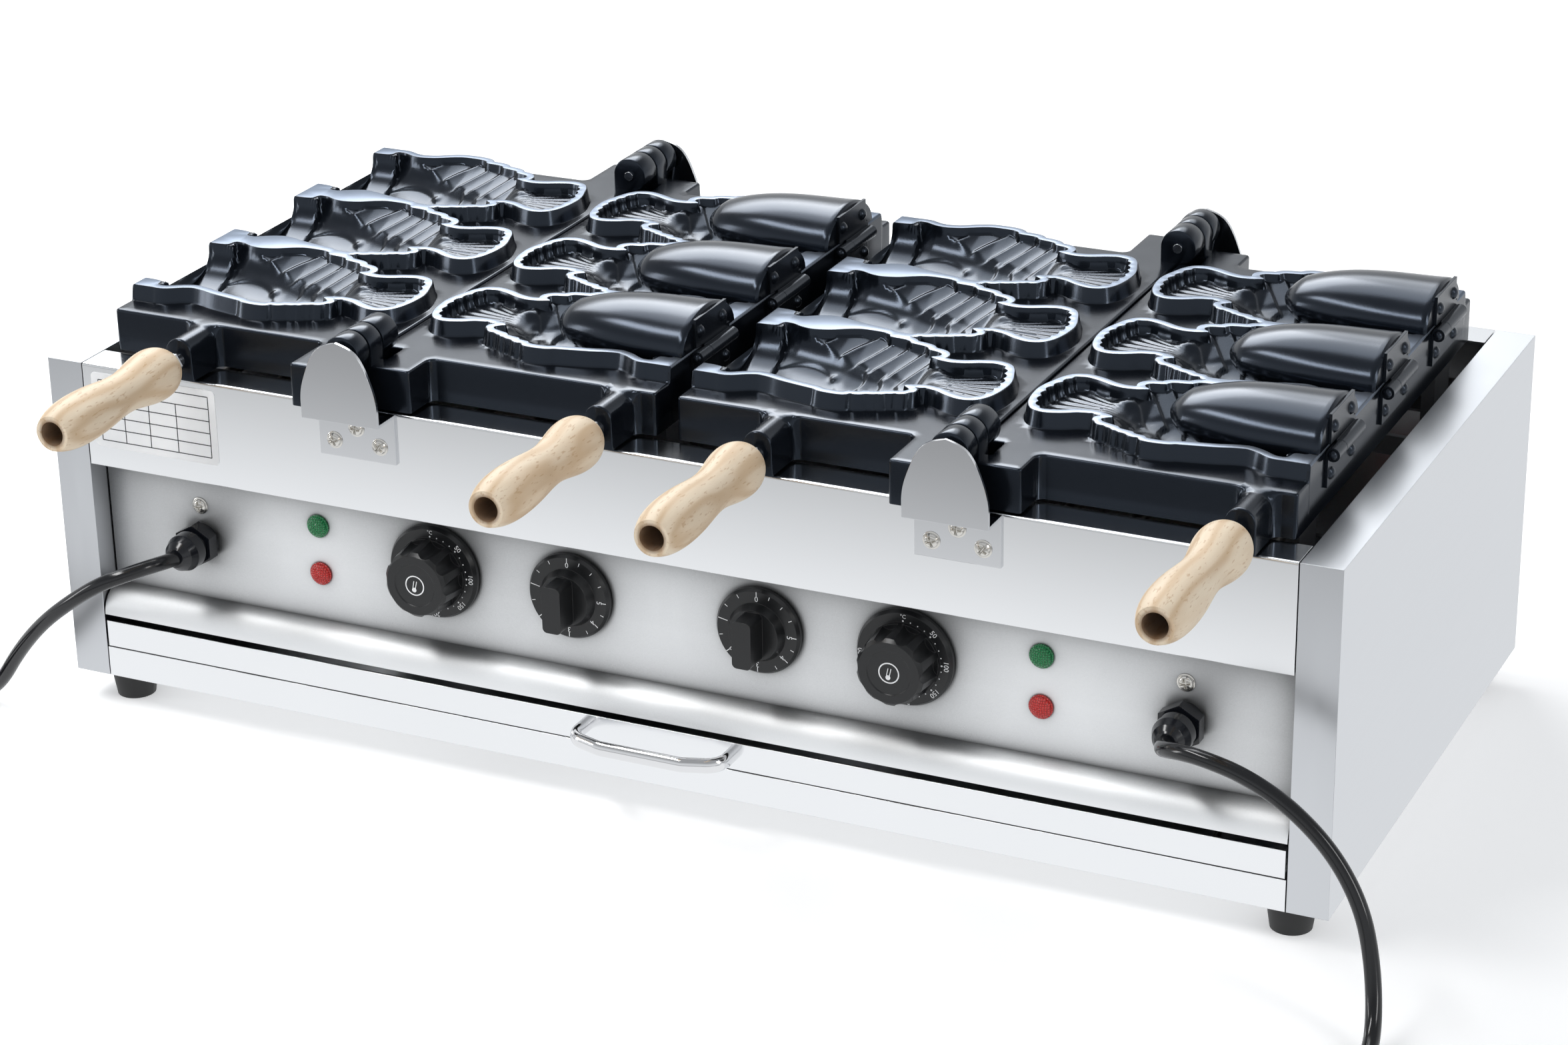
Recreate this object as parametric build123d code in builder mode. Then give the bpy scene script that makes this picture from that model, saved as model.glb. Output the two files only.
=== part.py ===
"""Twin fish-cake maker for a countertop: a steel cabinet with two pairs of hinged moulds.

Millimetres, +Z up, +X to the right, -Y towards the user. The origin lies on the tabletop under the
middle of the machine. Each pair of moulds folds about one pin line that runs from front to back.
"""

import os
from math import acos, cos, pi, sin, tan

from build123d import *

# Cabinet
CASE_WIDTH = 815.0
CASE_DEPTH = 382.0
CASE_HEIGHT = 208.0
FOOT_HEIGHT = 20.0
SHEET = 1.5
POST_WIDTH = 24.0
TOP_FLANGE = 24.0
UPPER_PANEL_BOTTOM = 142.5
RECESS_DEPTH = 16.5
LEDGE_BOTTOM = 41.5
TRAY_FRONT_TOP = 37.3
TRAY_FRONT_BOTTOM = 20.3
RAIL_TOP = 19.5
PANEL_GAP = 0.8

# How far the grips stand out in front of the cabinet, and the hinge brackets at both ends
GRIP_REACH = 133.0
BRACKET_REACH = 20.0

FRONT = (GRIP_REACH - CASE_DEPTH - BRACKET_REACH) / 2
BACK = FRONT + CASE_DEPTH
BASE = FOOT_HEIGHT
TOP = BASE + CASE_HEIGHT
HALF_WIDTH = CASE_WIDTH / 2
INNER_X = HALF_WIDTH - POST_WIDTH

# Moulds: u runs outwards from the pin line, v runs back from the middle of a fish's mouth
UNITS = {"left": -190.0, "right": 190.0}
FISH_COUNT = 3
FISH_PITCH = 100.0
FIRST_FISH = FRONT + 94.0
PLATE_FRONT = FRONT + 25.0
PLATE_BACK = BACK - 25.0
PLATE_INNER = 0.8
PLATE_OUTER = 183.25
PLATE_BOTTOM = BASE + 209.5
FLANGE_TOP = BASE + 235.5
RIM_TOP = BASE + 245.0
PIN_HEIGHT = RIM_TOP + 0.25
TAIL_DEPTH = 9.0
BODY_DEPTH = 22.0
BODY_CENTRE = (112.0, 2.0)
COLLAR_INNER = 170.0
COLLAR_HALF_WIDTH = 35.5
COLLAR_DEPTH = 21.5
MOUTH_START = 138.0
END_WALL = 180.0

# Edge of one fish-shaped hollow, from the front corner of the mouth round the tail to the back corner
FISH_EDGE = [
    (COLLAR_INNER, -43.0), (158.0, -38.5), (146.0, -36.0), (128.0, -39.5), (110.0, -43.0),
    (95.0, -46.5), (80.0, -42.5), (68.0, -36.0), (58.5, -30.0), (62.0, -24.5), (55.0, -20.0),
    (46.0, -19.0), (35.0, -24.0), (25.0, -27.5), (17.0, -23.0), (14.0, -9.0), (14.0, 5.0),
    (17.0, 17.0), (22.0, 25.0), (30.0, 27.0), (38.0, 23.5), (47.0, 19.0), (57.0, 18.5),
    (66.0, 22.5), (63.0, 28.0), (68.0, 33.0), (80.0, 38.5), (92.0, 44.0), (104.0, 48.0),
    (116.0, 50.0), (128.0, 47.0), (138.0, 41.5), (148.0, 38.5), (158.0, 41.0), (COLLAR_INNER, 43.0),
]
# Outside of the raised rim round the same fish
RIM_EDGE = [
    (166.0, -48.0), (146.0, -41.5), (128.0, -46.0), (110.0, -49.5), (95.0, -52.5), (80.0, -48.5),
    (65.0, -41.0), (54.0, -33.0), (46.0, -26.0), (36.0, -30.5), (25.0, -34.0), (14.0, -28.0),
    (8.0, -10.0), (8.0, 8.0), (12.0, 21.0), (19.0, 31.0), (30.0, 33.5), (41.0, 29.5), (50.0, 29.0),
    (61.0, 38.0), (76.0, 44.0), (90.0, 50.0), (103.0, 54.0), (116.0, 56.0), (130.0, 53.0),
    (140.0, 47.5), (150.0, 45.0), (166.0, 49.0),
]
MERGED_RIM_START = 86.0

# Hinge knuckles, as stretches in front of the cabinet's front face; the back ones mirror them
LEFT_KNUCKLES = [(-14.0, 0.0), (15.0, 33.0)]
RIGHT_KNUCKLES = [(0.4, 14.6)]
LUG_FRONT = {"left": -14.0, "right": 0.4}
LUG_HALF_WIDTH = 36.0
LUG_BOTTOM = BASE + 213.0
KNUCKLE_RADIUS = 11.5
KNUCKLE_GAP = 0.4
NOTCH_WIDTH = 12.8
PIN_RADIUS = 3.0
PIN_CLEARANCE = 0.08

# Handles: an arched arm cast on each plate, then a nut and the grip on a threaded rod
HANDLE_U = {"left": 119.3, "right": 161.0}
HANDLE_HEIGHT = BASE + 222.0
ARM_HALF_WIDTH = 9.0
ARM_TOP = BASE + 235.0
ARM_END = FRONT - 4.0
ARM_EDGE_RADIUS = 1.8
ROD_RADIUS = 4.0
NUT_FLATS = 14.0
NUT_HEIGHT = 7.0
SEAT_NUT_FLATS = 12.0
SEAT_NUT_HEIGHT = 6.4
GRIP_START = FRONT - 19.0
GRIP_END = FRONT - GRIP_REACH
GRIP_BORE = 7.2
GRIP_BORE_DEPTH = 30.0

# Brackets that carry the pins
BRACKET_SHEET = 2.0
BRACKET_WIDTH = 51.0
BRACKET_BOTTOM = BASE + 176.5
BRACKET_SHELF = BASE + 207.5
TONGUE_TOP = BASE + 255.0
TONGUE_STRAIGHT = 8.0
BRACKET_SCREWS = [(-15.3, BASE + 186.5), (15.3, BASE + 186.5), (0.0, BASE + 196.0)]
SCREW_HEAD_RADIUS = 4.3
SCREW_HEAD_HEIGHT = 2.6
SCREW_RADIUS = 2.0
SCREW_LENGTH = 8.0

# Horns that keep the mouths open, and their butt hinges
HORN_FACE = 183.5
HORN_SECTIONS = [(90.5, 11.0, 6.0), (98.0, 20.0, 12.0), (115.0, 27.0, 17.0), (140.0, 31.0, 20.0),
                 (165.0, 34.0, 20.7), (HORN_FACE, 35.0, 21.0)]
HORN_NOSE = 87.5
HORN_LOWER_END = 178.8
HORN_STEP = 0.4
LEAF_HALF_WIDTH = 23.5
LEAF_SHEET = 1.8
LEAF_TOP = BASE + 263.5
LEAF_BOTTOM = BASE + 222.0
BARREL_U = 187.5
BARREL_HEIGHT = BASE + 241.5
BARREL_RADIUS = 4.0
BARREL_SPLIT = -10.0
BARREL_PIN_RADIUS = 1.4
RIVET_V = 18.0
RIVET_HEAD_RADIUS = 3.8
RIVET_HEAD_HEIGHT = 2.6
RIVET_RADIUS = 2.0
RIVET_GRIP = 2.9
UPPER_RIVET_SPREAD = 14.5
UPPER_RIVET_HEIGHT = BASE + 255.0
LOWER_RIVET_HEIGHT = BASE + 229.0

# Controls
PANEL_Y = FRONT + RECESS_DEPTH
LAMP_X = 233.0
GREEN_LAMP_HEIGHT = BASE + 119.5
RED_LAMP_HEIGHT = BASE + 88.5
LAMP_RADIUS = 7.2
KNOB_HEIGHT = BASE + 105.0
THERMOSTAT_X = 152.0
TIMER_X = 61.0
SPINDLE_RADIUS = 3.0
GLAND_X = 317.0
GLAND_HEIGHT = BASE + 96.0
GLAND_LENGTH = 31.0
EARTH_SCREW_HEIGHT = BASE + 119.0

# Crumb tray
TRAY_HALF_WIDTH = 340.0
TRAY_DEPTH = 345.0
TRAY_FLOOR = 2.5
TRAY_HANDLE_HALF = 48.0

# Heaters
SHELF_HEIGHT = BASE + 160.0
HEATER_RADIUS = 4.0
HEATER_RIB = 12.0
REST_REACH = 174.0

# Mains leads
CORD_RADIUS = 4.5
COIL_RADIUS = 50.0
COIL_TURNS = 2
COIL_LAYERS = 2
TAIL_LENGTH = 40.0
PLUG_RADIUS = 18.0


def block(x, y, z, mode=Mode.ADD):
    """A box between two limits along each axis, added to the part being built."""
    with Locations(((x[0] + x[1]) / 2, (y[0] + y[1]) / 2, (z[0] + z[1]) / 2)):
        Box(x[1] - x[0], y[1] - y[0], z[1] - z[0], mode=mode)


def rod_y(x, z, y0, y1, radius, mode=Mode.ADD):
    """A round bar along Y, added to the part being built."""
    with Locations(Location((x, (y0 + y1) / 2, z), (90, 0, 0))):
        Cylinder(radius, y1 - y0, mode=mode)


def rod_x(x0, x1, y, z, radius, mode=Mode.ADD):
    """A round bar along X, added to the part being built."""
    with Locations(Location(((x0 + x1) / 2, y, z), (0, 90, 0))):
        Cylinder(radius, x1 - x0, mode=mode)


def dome(x, y, z, direction, radius, height):
    """A domed head whose flat side is at the point, bulging along direction."""
    ball = (radius**2 + height**2) / (2 * height)
    seat = Plane(origin=(x, y, z), z_dir=direction)
    with BuildSketch(Plane(origin=seat.origin, x_dir=seat.x_dir, z_dir=-seat.y_dir)) as half:
        with BuildLine():
            edge = ThreePointArc((radius, 0), (ball * sin(acos(1 - height / ball) / 2),
                                 height - ball * (1 - cos(acos(1 - height / ball) / 2))), (0, height))
            Line(edge @ 1, (0, 0))
            Line((0, 0), edge @ 0)
        make_face()
    revolve(half.sketch, axis=Axis(seat.origin, seat.z_dir))


def save(part, name):
    """Label one piece and write it."""
    part.label = name
    export_step(part, f"parts/{name}.step")


def from_back(y):
    """The place at the cabinet's back that mirrors a place at its front."""
    return FRONT + BACK - y


# ---------------------------------------------------------------- cabinet

def side_panel(side):
    """Outer wall with its front and back posts and its top flange, folded from one sheet."""
    outer = side * HALF_WIDTH
    wall = sorted((outer, outer - side * SHEET))
    across = sorted((outer, side * INNER_X))
    cheek = sorted((side * INNER_X, side * (INNER_X + SHEET)))
    with BuildPart() as panel:
        block(wall, (FRONT, BACK), (BASE, TOP))
        block(across, (FRONT, FRONT + SHEET), (BASE, TOP))
        block(across, (BACK - SHEET, BACK), (BASE, TOP))
        block(across, (FRONT, BACK), (TOP - SHEET, TOP))
        block(across, (FRONT, BACK), (BASE, BASE + SHEET))
        block(cheek, (FRONT, FRONT + RECESS_DEPTH + SHEET), (BASE, TOP))
    return panel.part


def panel_holes(places, radius, y0, y1):
    """Round holes along Y through the sheet being built."""
    for x, z in places:
        rod_y(x, z, y0, y1, radius, Mode.SUBTRACT)


def bracket_screw_places():
    """Centre of every screw in the front brackets, as (x, z)."""
    return [(unit + dx, z) for unit in UNITS.values() for dx, z in BRACKET_SCREWS]


def front_panel():
    """Upper front sheet with a rounded top bend and a lower return over the controls."""
    x = (-INNER_X + PANEL_GAP, INNER_X - PANEL_GAP)
    bottom = BASE + UPPER_PANEL_BOTTOM
    with BuildPart() as panel:
        block(x, (FRONT, FRONT + SHEET), (bottom, TOP))
        block(x, (FRONT, FRONT + TOP_FLANGE), (TOP - SHEET, TOP))
        block(x, (FRONT, PANEL_Y - PANEL_GAP), (bottom, bottom + SHEET))
        bend = panel.edges().filter_by(Axis.X).sort_by(lambda e: e.center().Z - e.center().Y)[-1]
        fillet(bend, SHEET)
        panel_holes(bracket_screw_places(), SCREW_RADIUS + 0.1, FRONT - 1, FRONT + SHEET + 1)
    return panel.part


def control_panel():
    """Recessed sheet that carries the controls; below them it rolls forward to the lip above the tray."""
    x = (-INNER_X + PANEL_GAP, INNER_X - PANEL_GAP)
    low, high = BASE + LEDGE_BOTTOM, BASE + UPPER_PANEL_BOTTOM + 10
    inner = RECESS_DEPTH - SHEET
    with BuildPart() as panel:
        with BuildSketch(Plane.YZ.offset(x[0])):
            with BuildLine():
                Line((PANEL_Y + SHEET, high), (PANEL_Y, high))
                Line((PANEL_Y, high), (PANEL_Y, low + RECESS_DEPTH))
                CenterArc((PANEL_Y, low), RECESS_DEPTH, 90, 90)
                Polyline((FRONT, low), (PANEL_Y, low), (PANEL_Y, low + SHEET), (FRONT + SHEET, low + SHEET))
                ThreePointArc((FRONT + SHEET, low + SHEET),
                              (PANEL_Y - inner * cos(pi / 4), low + inner * sin(pi / 4)), (PANEL_Y, low + inner))
                Polyline((PANEL_Y, low + inner), (PANEL_Y + SHEET, low + inner), (PANEL_Y + SHEET, high))
            make_face()
        extrude(amount=x[1] - x[0])
        back = (PANEL_Y - 1, PANEL_Y + SHEET + 1)
        for side in (-1, 1):
            panel_holes([(side * THERMOSTAT_X, KNOB_HEIGHT), (side * TIMER_X, KNOB_HEIGHT)],
                        SPINDLE_RADIUS + 0.6, *back)
            panel_holes([(side * LAMP_X, GREEN_LAMP_HEIGHT), (side * LAMP_X, RED_LAMP_HEIGHT)], 5.2, *back)
            panel_holes([(side * GLAND_X, GLAND_HEIGHT)], 8.2, *back)
            panel_holes([(side * GLAND_X, EARTH_SCREW_HEIGHT)], SCREW_RADIUS + 0.1, *back)
    return panel.part


def base_pan():
    """Bottom sheet with the rail below the tray, and holes for the feet's screws."""
    x = (-INNER_X + PANEL_GAP, INNER_X - PANEL_GAP)
    with BuildPart() as pan:
        block(x, (FRONT, BACK - SHEET - PANEL_GAP), (BASE, BASE + SHEET))
        block(x, (FRONT, FRONT + SHEET), (BASE, BASE + RAIL_TOP))
        block(x, (FRONT, FRONT + 10), (BASE + RAIL_TOP - SHEET, BASE + RAIL_TOP))
    return pan.part


def rear_panel():
    """Back sheet with its top flange and a row of cooling slots."""
    x = (-INNER_X + PANEL_GAP, INNER_X - PANEL_GAP)
    with BuildPart() as panel:
        block(x, (BACK - SHEET, BACK), (BASE, TOP))
        block(x, (BACK - TOP_FLANGE, BACK), (TOP - SHEET, TOP))
        for column in range(-4, 5):
            block((column * 34 - 12, column * 34 + 12), (BACK - SHEET - 1, BACK + 1),
                  (BASE + 92, BASE + 96), Mode.SUBTRACT)
            block((column * 34 - 12, column * 34 + 12), (BACK - SHEET - 1, BACK + 1),
                  (BASE + 76, BASE + 80), Mode.SUBTRACT)
        panel_holes(bracket_screw_places(), SCREW_RADIUS + 0.1, BACK - SHEET - 1, BACK + 1)
    return panel.part


def feet():
    """Four tapered rubber feet under the corners."""
    with BuildPart() as rubber:
        for x in (-380, 380):
            for y in (FRONT + 22, BACK - 22):
                with Locations((x, y, FOOT_HEIGHT / 2)):
                    Cone(12.0, 15.0, FOOT_HEIGHT)
    return rubber.part


# ---------------------------------------------------------------- moulds

def fish_points(edge, unit, side, fish):
    """Outline points of one fish, from (u, v) to the machine's (x, y)."""
    return [(unit + side * u, FIRST_FISH + fish * FISH_PITCH + v) for u, v in edge]


def rim_blank(unit, side, fish):
    """The raised wall round one fish, still solid."""
    points = fish_points(RIM_EDGE, unit, side, fish)
    start, end = points[0], points[-1]
    outer = unit + side * PLATE_OUTER
    with BuildSketch(Plane.XY.offset(FLANGE_TOP - 1)) as wall:
        with BuildLine():
            Spline(*points)
            Polyline(end, (outer, end[1]), (outer, start[1]), start)
        make_face()
    extrude(wall.sketch, amount=RIM_TOP - FLANGE_TOP + 1)


def fish_hollow(unit, side, fish):
    """Cuts one fish: the outline to the tail's depth, a deeper belly, and the mouth channel.

    The channel runs out through a left mould's end; a right mould's low end wall closes it."""
    points = fish_points(FISH_EDGE, unit, side, fish)
    cx, cy = unit + side * BODY_CENTRE[0], FIRST_FISH + fish * FISH_PITCH + BODY_CENTRE[1]
    with BuildSketch(Plane.XY.offset(RIM_TOP - TAIL_DEPTH)) as outline:
        with BuildLine():
            Spline(*points)
            Line(points[-1], points[0])
        make_face()
    extrude(outline.sketch, amount=TAIL_DEPTH + 1, mode=Mode.SUBTRACT)
    with BuildSketch(Plane.XY.offset(RIM_TOP - TAIL_DEPTH + 0.5)) as upper:
        with Locations((cx, cy)):
            Ellipse(55, 40)
    with BuildSketch(Plane.XY.offset(RIM_TOP - BODY_DEPTH)) as lower:
        with Locations((cx, cy)):
            Ellipse(40, 27)
    loft([upper.sketch, lower.sketch], mode=Mode.SUBTRACT)
    mouth_end = PLATE_OUTER + 1 if side < 0 else END_WALL
    mouth = sorted((unit + side * MOUTH_START, unit + side * mouth_end))
    with BuildSketch(Plane.YZ.offset(mouth[0])) as channel:
        with Locations((FIRST_FISH + fish * FISH_PITCH, PIN_HEIGHT)):
            Ellipse(COLLAR_HALF_WIDTH, COLLAR_DEPTH)
    extrude(channel.sketch, amount=mouth[1] - mouth[0], mode=Mode.SUBTRACT)


def span(unit, side, u0, u1):
    """Limits along X of a stretch measured outwards from the pin line."""
    return tuple(sorted((unit + side * u0, unit + side * u1)))


def knuckle(unit, side, y0, y1):
    """One hinge ring and the web that joins it to its plate."""
    rod_y(unit, PIN_HEIGHT, y0, y1, KNUCKLE_RADIUS)
    block(span(unit, side, PLATE_INNER, KNUCKLE_RADIUS), (y0, y1), (LUG_BOTTOM, PIN_HEIGHT))


def handle_arm(x):
    """Arched arm from a plate's front wall to its handle's nut, with a rounded front edge."""
    arch = ARM_TOP - ARM_HALF_WIDTH
    with BuildPart() as arm:
        block((x - ARM_HALF_WIDTH, x + ARM_HALF_WIDTH), (ARM_END, PLATE_FRONT + 5), (PLATE_BOTTOM, arch))
        rod_y(x, arch, ARM_END, PLATE_FRONT + 5, ARM_HALF_WIDTH)
        nose = arm.faces().sort_by(Axis.Y)[0]
        fillet(nose.edges().filter_by(lambda e: e.center().Z > PLATE_BOTTOM + 1), ARM_EDGE_RADIUS)
    add(arm.part)


def mould_plate(unit, name):
    """One cast half-mould: flange, lugs, rims, three fish hollows, knuckles and the handle's arm."""
    side = -1 if name == "left" else 1
    own = LEFT_KNUCKLES if name == "left" else RIGHT_KNUCKLES
    other = RIGHT_KNUCKLES if name == "left" else LEFT_KNUCKLES
    lug = FRONT + LUG_FRONT[name]
    handle_x = unit + side * HANDLE_U[name]
    with BuildPart() as plate:
        block(span(unit, side, PLATE_INNER, PLATE_OUTER), (PLATE_FRONT, PLATE_BACK),
              (PLATE_BOTTOM, FLANGE_TOP))
        block(span(unit, side, PLATE_INNER, LUG_HALF_WIDTH), (lug, from_back(lug)),
              (LUG_BOTTOM, FLANGE_TOP))
        handle_arm(handle_x)
        for fish in range(FISH_COUNT):
            rim_blank(unit, side, fish)
        block(span(unit, side, MERGED_RIM_START, PLATE_OUTER),
              (FIRST_FISH, FIRST_FISH + (FISH_COUNT - 1) * FISH_PITCH), (FLANGE_TOP - 1, RIM_TOP))
        for fish in range(FISH_COUNT):
            fish_hollow(unit, side, fish)
        for y0, y1 in other:
            for low, high in ((FRONT + y0, FRONT + y1), (from_back(FRONT + y1), from_back(FRONT + y0))):
                block(span(unit, side, 0, NOTCH_WIDTH), (low - KNUCKLE_GAP, high + KNUCKLE_GAP),
                      (PLATE_BOTTOM - 1, RIM_TOP + 1), Mode.SUBTRACT)
        for y0, y1 in own:
            knuckle(unit, side, FRONT + y0, FRONT + y1)
            knuckle(unit, side, from_back(FRONT + y1), from_back(FRONT + y0))
        for low, high in ((FRONT - 20, FRONT + 40), (BACK - 40, BACK + 20)):
            rod_y(unit, PIN_HEIGHT, low, high, PIN_RADIUS + PIN_CLEARANCE, Mode.SUBTRACT)
        rod_y(handle_x, HANDLE_HEIGHT, ARM_END - 1, ARM_END + 20, ROD_RADIUS + 0.05, Mode.SUBTRACT)
        if name == "right":
            for fish in range(FISH_COUNT):
                for v in (-RIVET_V, RIVET_V):
                    rod_x(unit + END_WALL - 1, unit + PLATE_OUTER + 1,
                          FIRST_FISH + fish * FISH_PITCH + v, LOWER_RIVET_HEIGHT,
                          RIVET_RADIUS + 0.05, Mode.SUBTRACT)
    return plate.part


def hex_nut(x, y, flats, height):
    """A hexagon nut on a handle's rod, its back face at y."""
    with BuildSketch(Plane.XZ.offset(-y)) as outline:
        with Locations((x, HANDLE_HEIGHT)):
            RegularPolygon(flats / 2, 6, major_radius=False)
    extrude(outline.sketch, amount=height)


def handle_rod(unit, name):
    """Threaded rod from the plate's arm through the grip, with a nut at each end of the grip."""
    x = unit + (-1 if name == "left" else 1) * HANDLE_U[name]
    seat = GRIP_END + GRIP_BORE_DEPTH
    with BuildPart() as rod:
        rod_y(x, HANDLE_HEIGHT, seat - 9, ARM_END + 19, ROD_RADIUS)
        hex_nut(x, seat - 0.2, SEAT_NUT_FLATS, SEAT_NUT_HEIGHT)
        hex_nut(x, GRIP_START + 0.2 + NUT_HEIGHT, NUT_FLATS, NUT_HEIGHT)
    return rod.part


def grip(unit, name):
    """Turned beech grip: waisted near the plate, swelling towards a bored end."""
    x = unit + (-1 if name == "left" else 1) * HANDLE_U[name]
    profile = Plane(origin=(x, GRIP_START, HANDLE_HEIGHT), x_dir=(0, -1, 0), z_dir=(1, 0, 0))
    length = GRIP_START - GRIP_END
    with BuildPart() as wood:
        with BuildSketch(profile):
            with BuildLine():
                Line((0, ROD_RADIUS + 0.4), (0, 12.0))
                edge = Spline((0, 12.0), (2.5, 13.5), (0.35 * length, 12.4), (0.6 * length, 14.0),
                              (0.78 * length, 15.0), (0.93 * length, 13.2), (length, 10.5))
                Polyline(edge @ 1, (length, GRIP_BORE), (length - GRIP_BORE_DEPTH, GRIP_BORE),
                         (length - GRIP_BORE_DEPTH, ROD_RADIUS + 0.4), (0, ROD_RADIUS + 0.4))
            make_face()
        revolve(axis=Axis((x, GRIP_START, HANDLE_HEIGHT), (0, -1, 0)))
    return wood.part


def hinge_bracket(unit, end):
    """Steel bracket with a screw plate, a shelf, a rounded tongue and the pin welded to it."""
    outward = -1 if end == "front" else 1
    face = FRONT if end == "front" else BACK
    reach = face + outward * BRACKET_REACH
    inside = reach - outward * BRACKET_SHEET
    half = BRACKET_WIDTH / 2
    height = TONGUE_TOP - BRACKET_SHELF
    with BuildPart() as bracket:
        block((unit - half, unit + half), sorted((face, face + outward * BRACKET_SHEET)),
              (BRACKET_BOTTOM, BRACKET_SHELF))
        block((unit - half, unit + half), sorted((face, reach)),
              (BRACKET_SHELF - BRACKET_SHEET, BRACKET_SHELF))
        with BuildSketch(Plane.XZ.offset(-max(reach, inside))) as tongue:
            with BuildLine():
                Line((unit + half, BRACKET_SHELF - BRACKET_SHEET), (unit - half, BRACKET_SHELF - BRACKET_SHEET))
                for way in (-1, 1):
                    Line((unit + way * half, BRACKET_SHELF - BRACKET_SHEET),
                         (unit + way * half, BRACKET_SHELF + TONGUE_STRAIGHT))
                    Spline((unit + way * half, BRACKET_SHELF + TONGUE_STRAIGHT),
                           (unit + way * 0.84 * half, BRACKET_SHELF + 0.56 * height),
                           (unit + way * 0.51 * half, BRACKET_SHELF + 0.88 * height), (unit, TONGUE_TOP),
                           tangents=((0, 1), (-way, 0.25)))
            make_face()
        extrude(tongue.sketch, amount=BRACKET_SHEET)
        rod_y(unit, PIN_HEIGHT, *sorted((inside, face - outward * 34)), PIN_RADIUS)
        holes = [(unit + dx, z) for dx, z in BRACKET_SCREWS]
        panel_holes(holes, SCREW_RADIUS + 0.1, *sorted((face - outward, face + outward * 3)))
    return bracket.part


def pan_screw(x, z, face, outward):
    """A pan-head screw standing on a sheet at y = face, its head towards outward."""
    dome(x, face, z, (0, outward, 0), SCREW_HEAD_RADIUS, SCREW_HEAD_HEIGHT)
    rod_y(x, z, *sorted((face, face - outward * SCREW_LENGTH)), SCREW_RADIUS)


def bracket_screws():
    """Three screws through each of the four brackets."""
    with BuildPart() as screws:
        for x, z in bracket_screw_places():
            pan_screw(x, z, FRONT - BRACKET_SHEET, -1)
            pan_screw(x, z, BACK + BRACKET_SHEET, 1)
    return screws.part


def earth_screws():
    """One screw above each cable gland."""
    with BuildPart() as screws:
        for side in (-1, 1):
            pan_screw(side * GLAND_X, EARTH_SCREW_HEIGHT, PANEL_Y, -1)
    return screws.part


def horn(unit, fish):
    """Tapered core that leaves a pocket in the cake's mouth, with a flat outer face.

    Its lower half stops short of the mould's end wall; its upper half laps over that wall."""
    middle = FIRST_FISH + fish * FISH_PITCH
    with BuildPart() as core:
        sections = [Vertex(unit + HORN_NOSE, middle, PIN_HEIGHT)]
        for u, half_width, half_height in HORN_SECTIONS:
            with BuildSketch(Plane.YZ.offset(unit + u)) as section:
                with Locations((middle, PIN_HEIGHT)):
                    Ellipse(half_width, half_height)
            sections.append(section.sketch)
        loft(sections)
        block((unit + HORN_LOWER_END, unit + HORN_FACE + 1), (middle - 40, middle + 40),
              (RIM_TOP - 30, RIM_TOP + HORN_STEP), Mode.SUBTRACT)
        for v in (-UPPER_RIVET_SPREAD, UPPER_RIVET_SPREAD):
            rod_x(unit + HORN_FACE - RIVET_GRIP - 1, unit + HORN_FACE + 1, middle + v, UPPER_RIVET_HEIGHT,
                  RIVET_RADIUS + 0.05, Mode.SUBTRACT)
    return core.part


def rivet_places(upper):
    """Height of a leaf's two rivets, and half the distance between them."""
    return (UPPER_RIVET_HEIGHT, UPPER_RIVET_SPREAD) if upper else (LOWER_RIVET_HEIGHT, RIVET_V)


def leaf(unit, fish, upper):
    """Hinge leaf with its knuckle; the upper leaf moves with the horn."""
    middle = FIRST_FISH + fish * FISH_PITCH
    face = unit + (HORN_FACE if upper else PLATE_OUTER)
    ends = (middle + BARREL_SPLIT + 0.2, middle + LEAF_HALF_WIDTH)
    if not upper:
        ends = (middle - LEAF_HALF_WIDTH, middle + BARREL_SPLIT - 0.2)
    sheet = (face + 0.02, face + LEAF_SHEET)
    half = LEAF_HALF_WIDTH - (3.5 if upper else 0)
    if upper:
        block(sheet, (middle - half, middle + half), (BARREL_HEIGHT + BARREL_RADIUS + 0.6, LEAF_TOP))
    else:
        block(sheet, (middle - half, middle + half), (LEAF_BOTTOM, BARREL_HEIGHT - BARREL_RADIUS - 0.6))
    block(sheet, ends, sorted((BARREL_HEIGHT, BARREL_HEIGHT + (7 if upper else -7))))
    rod_y(unit + BARREL_U, BARREL_HEIGHT, *ends, BARREL_RADIUS)
    rod_y(unit + BARREL_U, BARREL_HEIGHT, ends[0] - 1, ends[1] + 1,
          BARREL_PIN_RADIUS + (0.08 if upper else 0.0), Mode.SUBTRACT)
    height, spread = rivet_places(upper)
    for v in (-spread, spread):
        rod_x(face - 1, face + LEAF_SHEET + 1, middle + v, height, RIVET_RADIUS + 0.05, Mode.SUBTRACT)


def leaf_rivets(unit, fish, upper):
    """Two domed rivets through one leaf."""
    middle = FIRST_FISH + fish * FISH_PITCH
    face = unit + (HORN_FACE if upper else PLATE_OUTER)
    height, spread = rivet_places(upper)
    for v in (-spread, spread):
        dome(face + LEAF_SHEET, middle + v, height, (1, 0, 0), RIVET_HEAD_RADIUS, RIVET_HEAD_HEIGHT)
        rod_x(face - RIVET_GRIP, face + LEAF_SHEET, middle + v, height, RIVET_RADIUS)


def horn_leaf(unit, fish):
    """Upper leaf and its rivets, which move with the horn."""
    with BuildPart() as plate:
        leaf(unit, fish, True)
    with BuildPart() as rivets:
        leaf_rivets(unit, fish, True)
    return Compound([*plate.solids(), *rivets.solids()])


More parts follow.
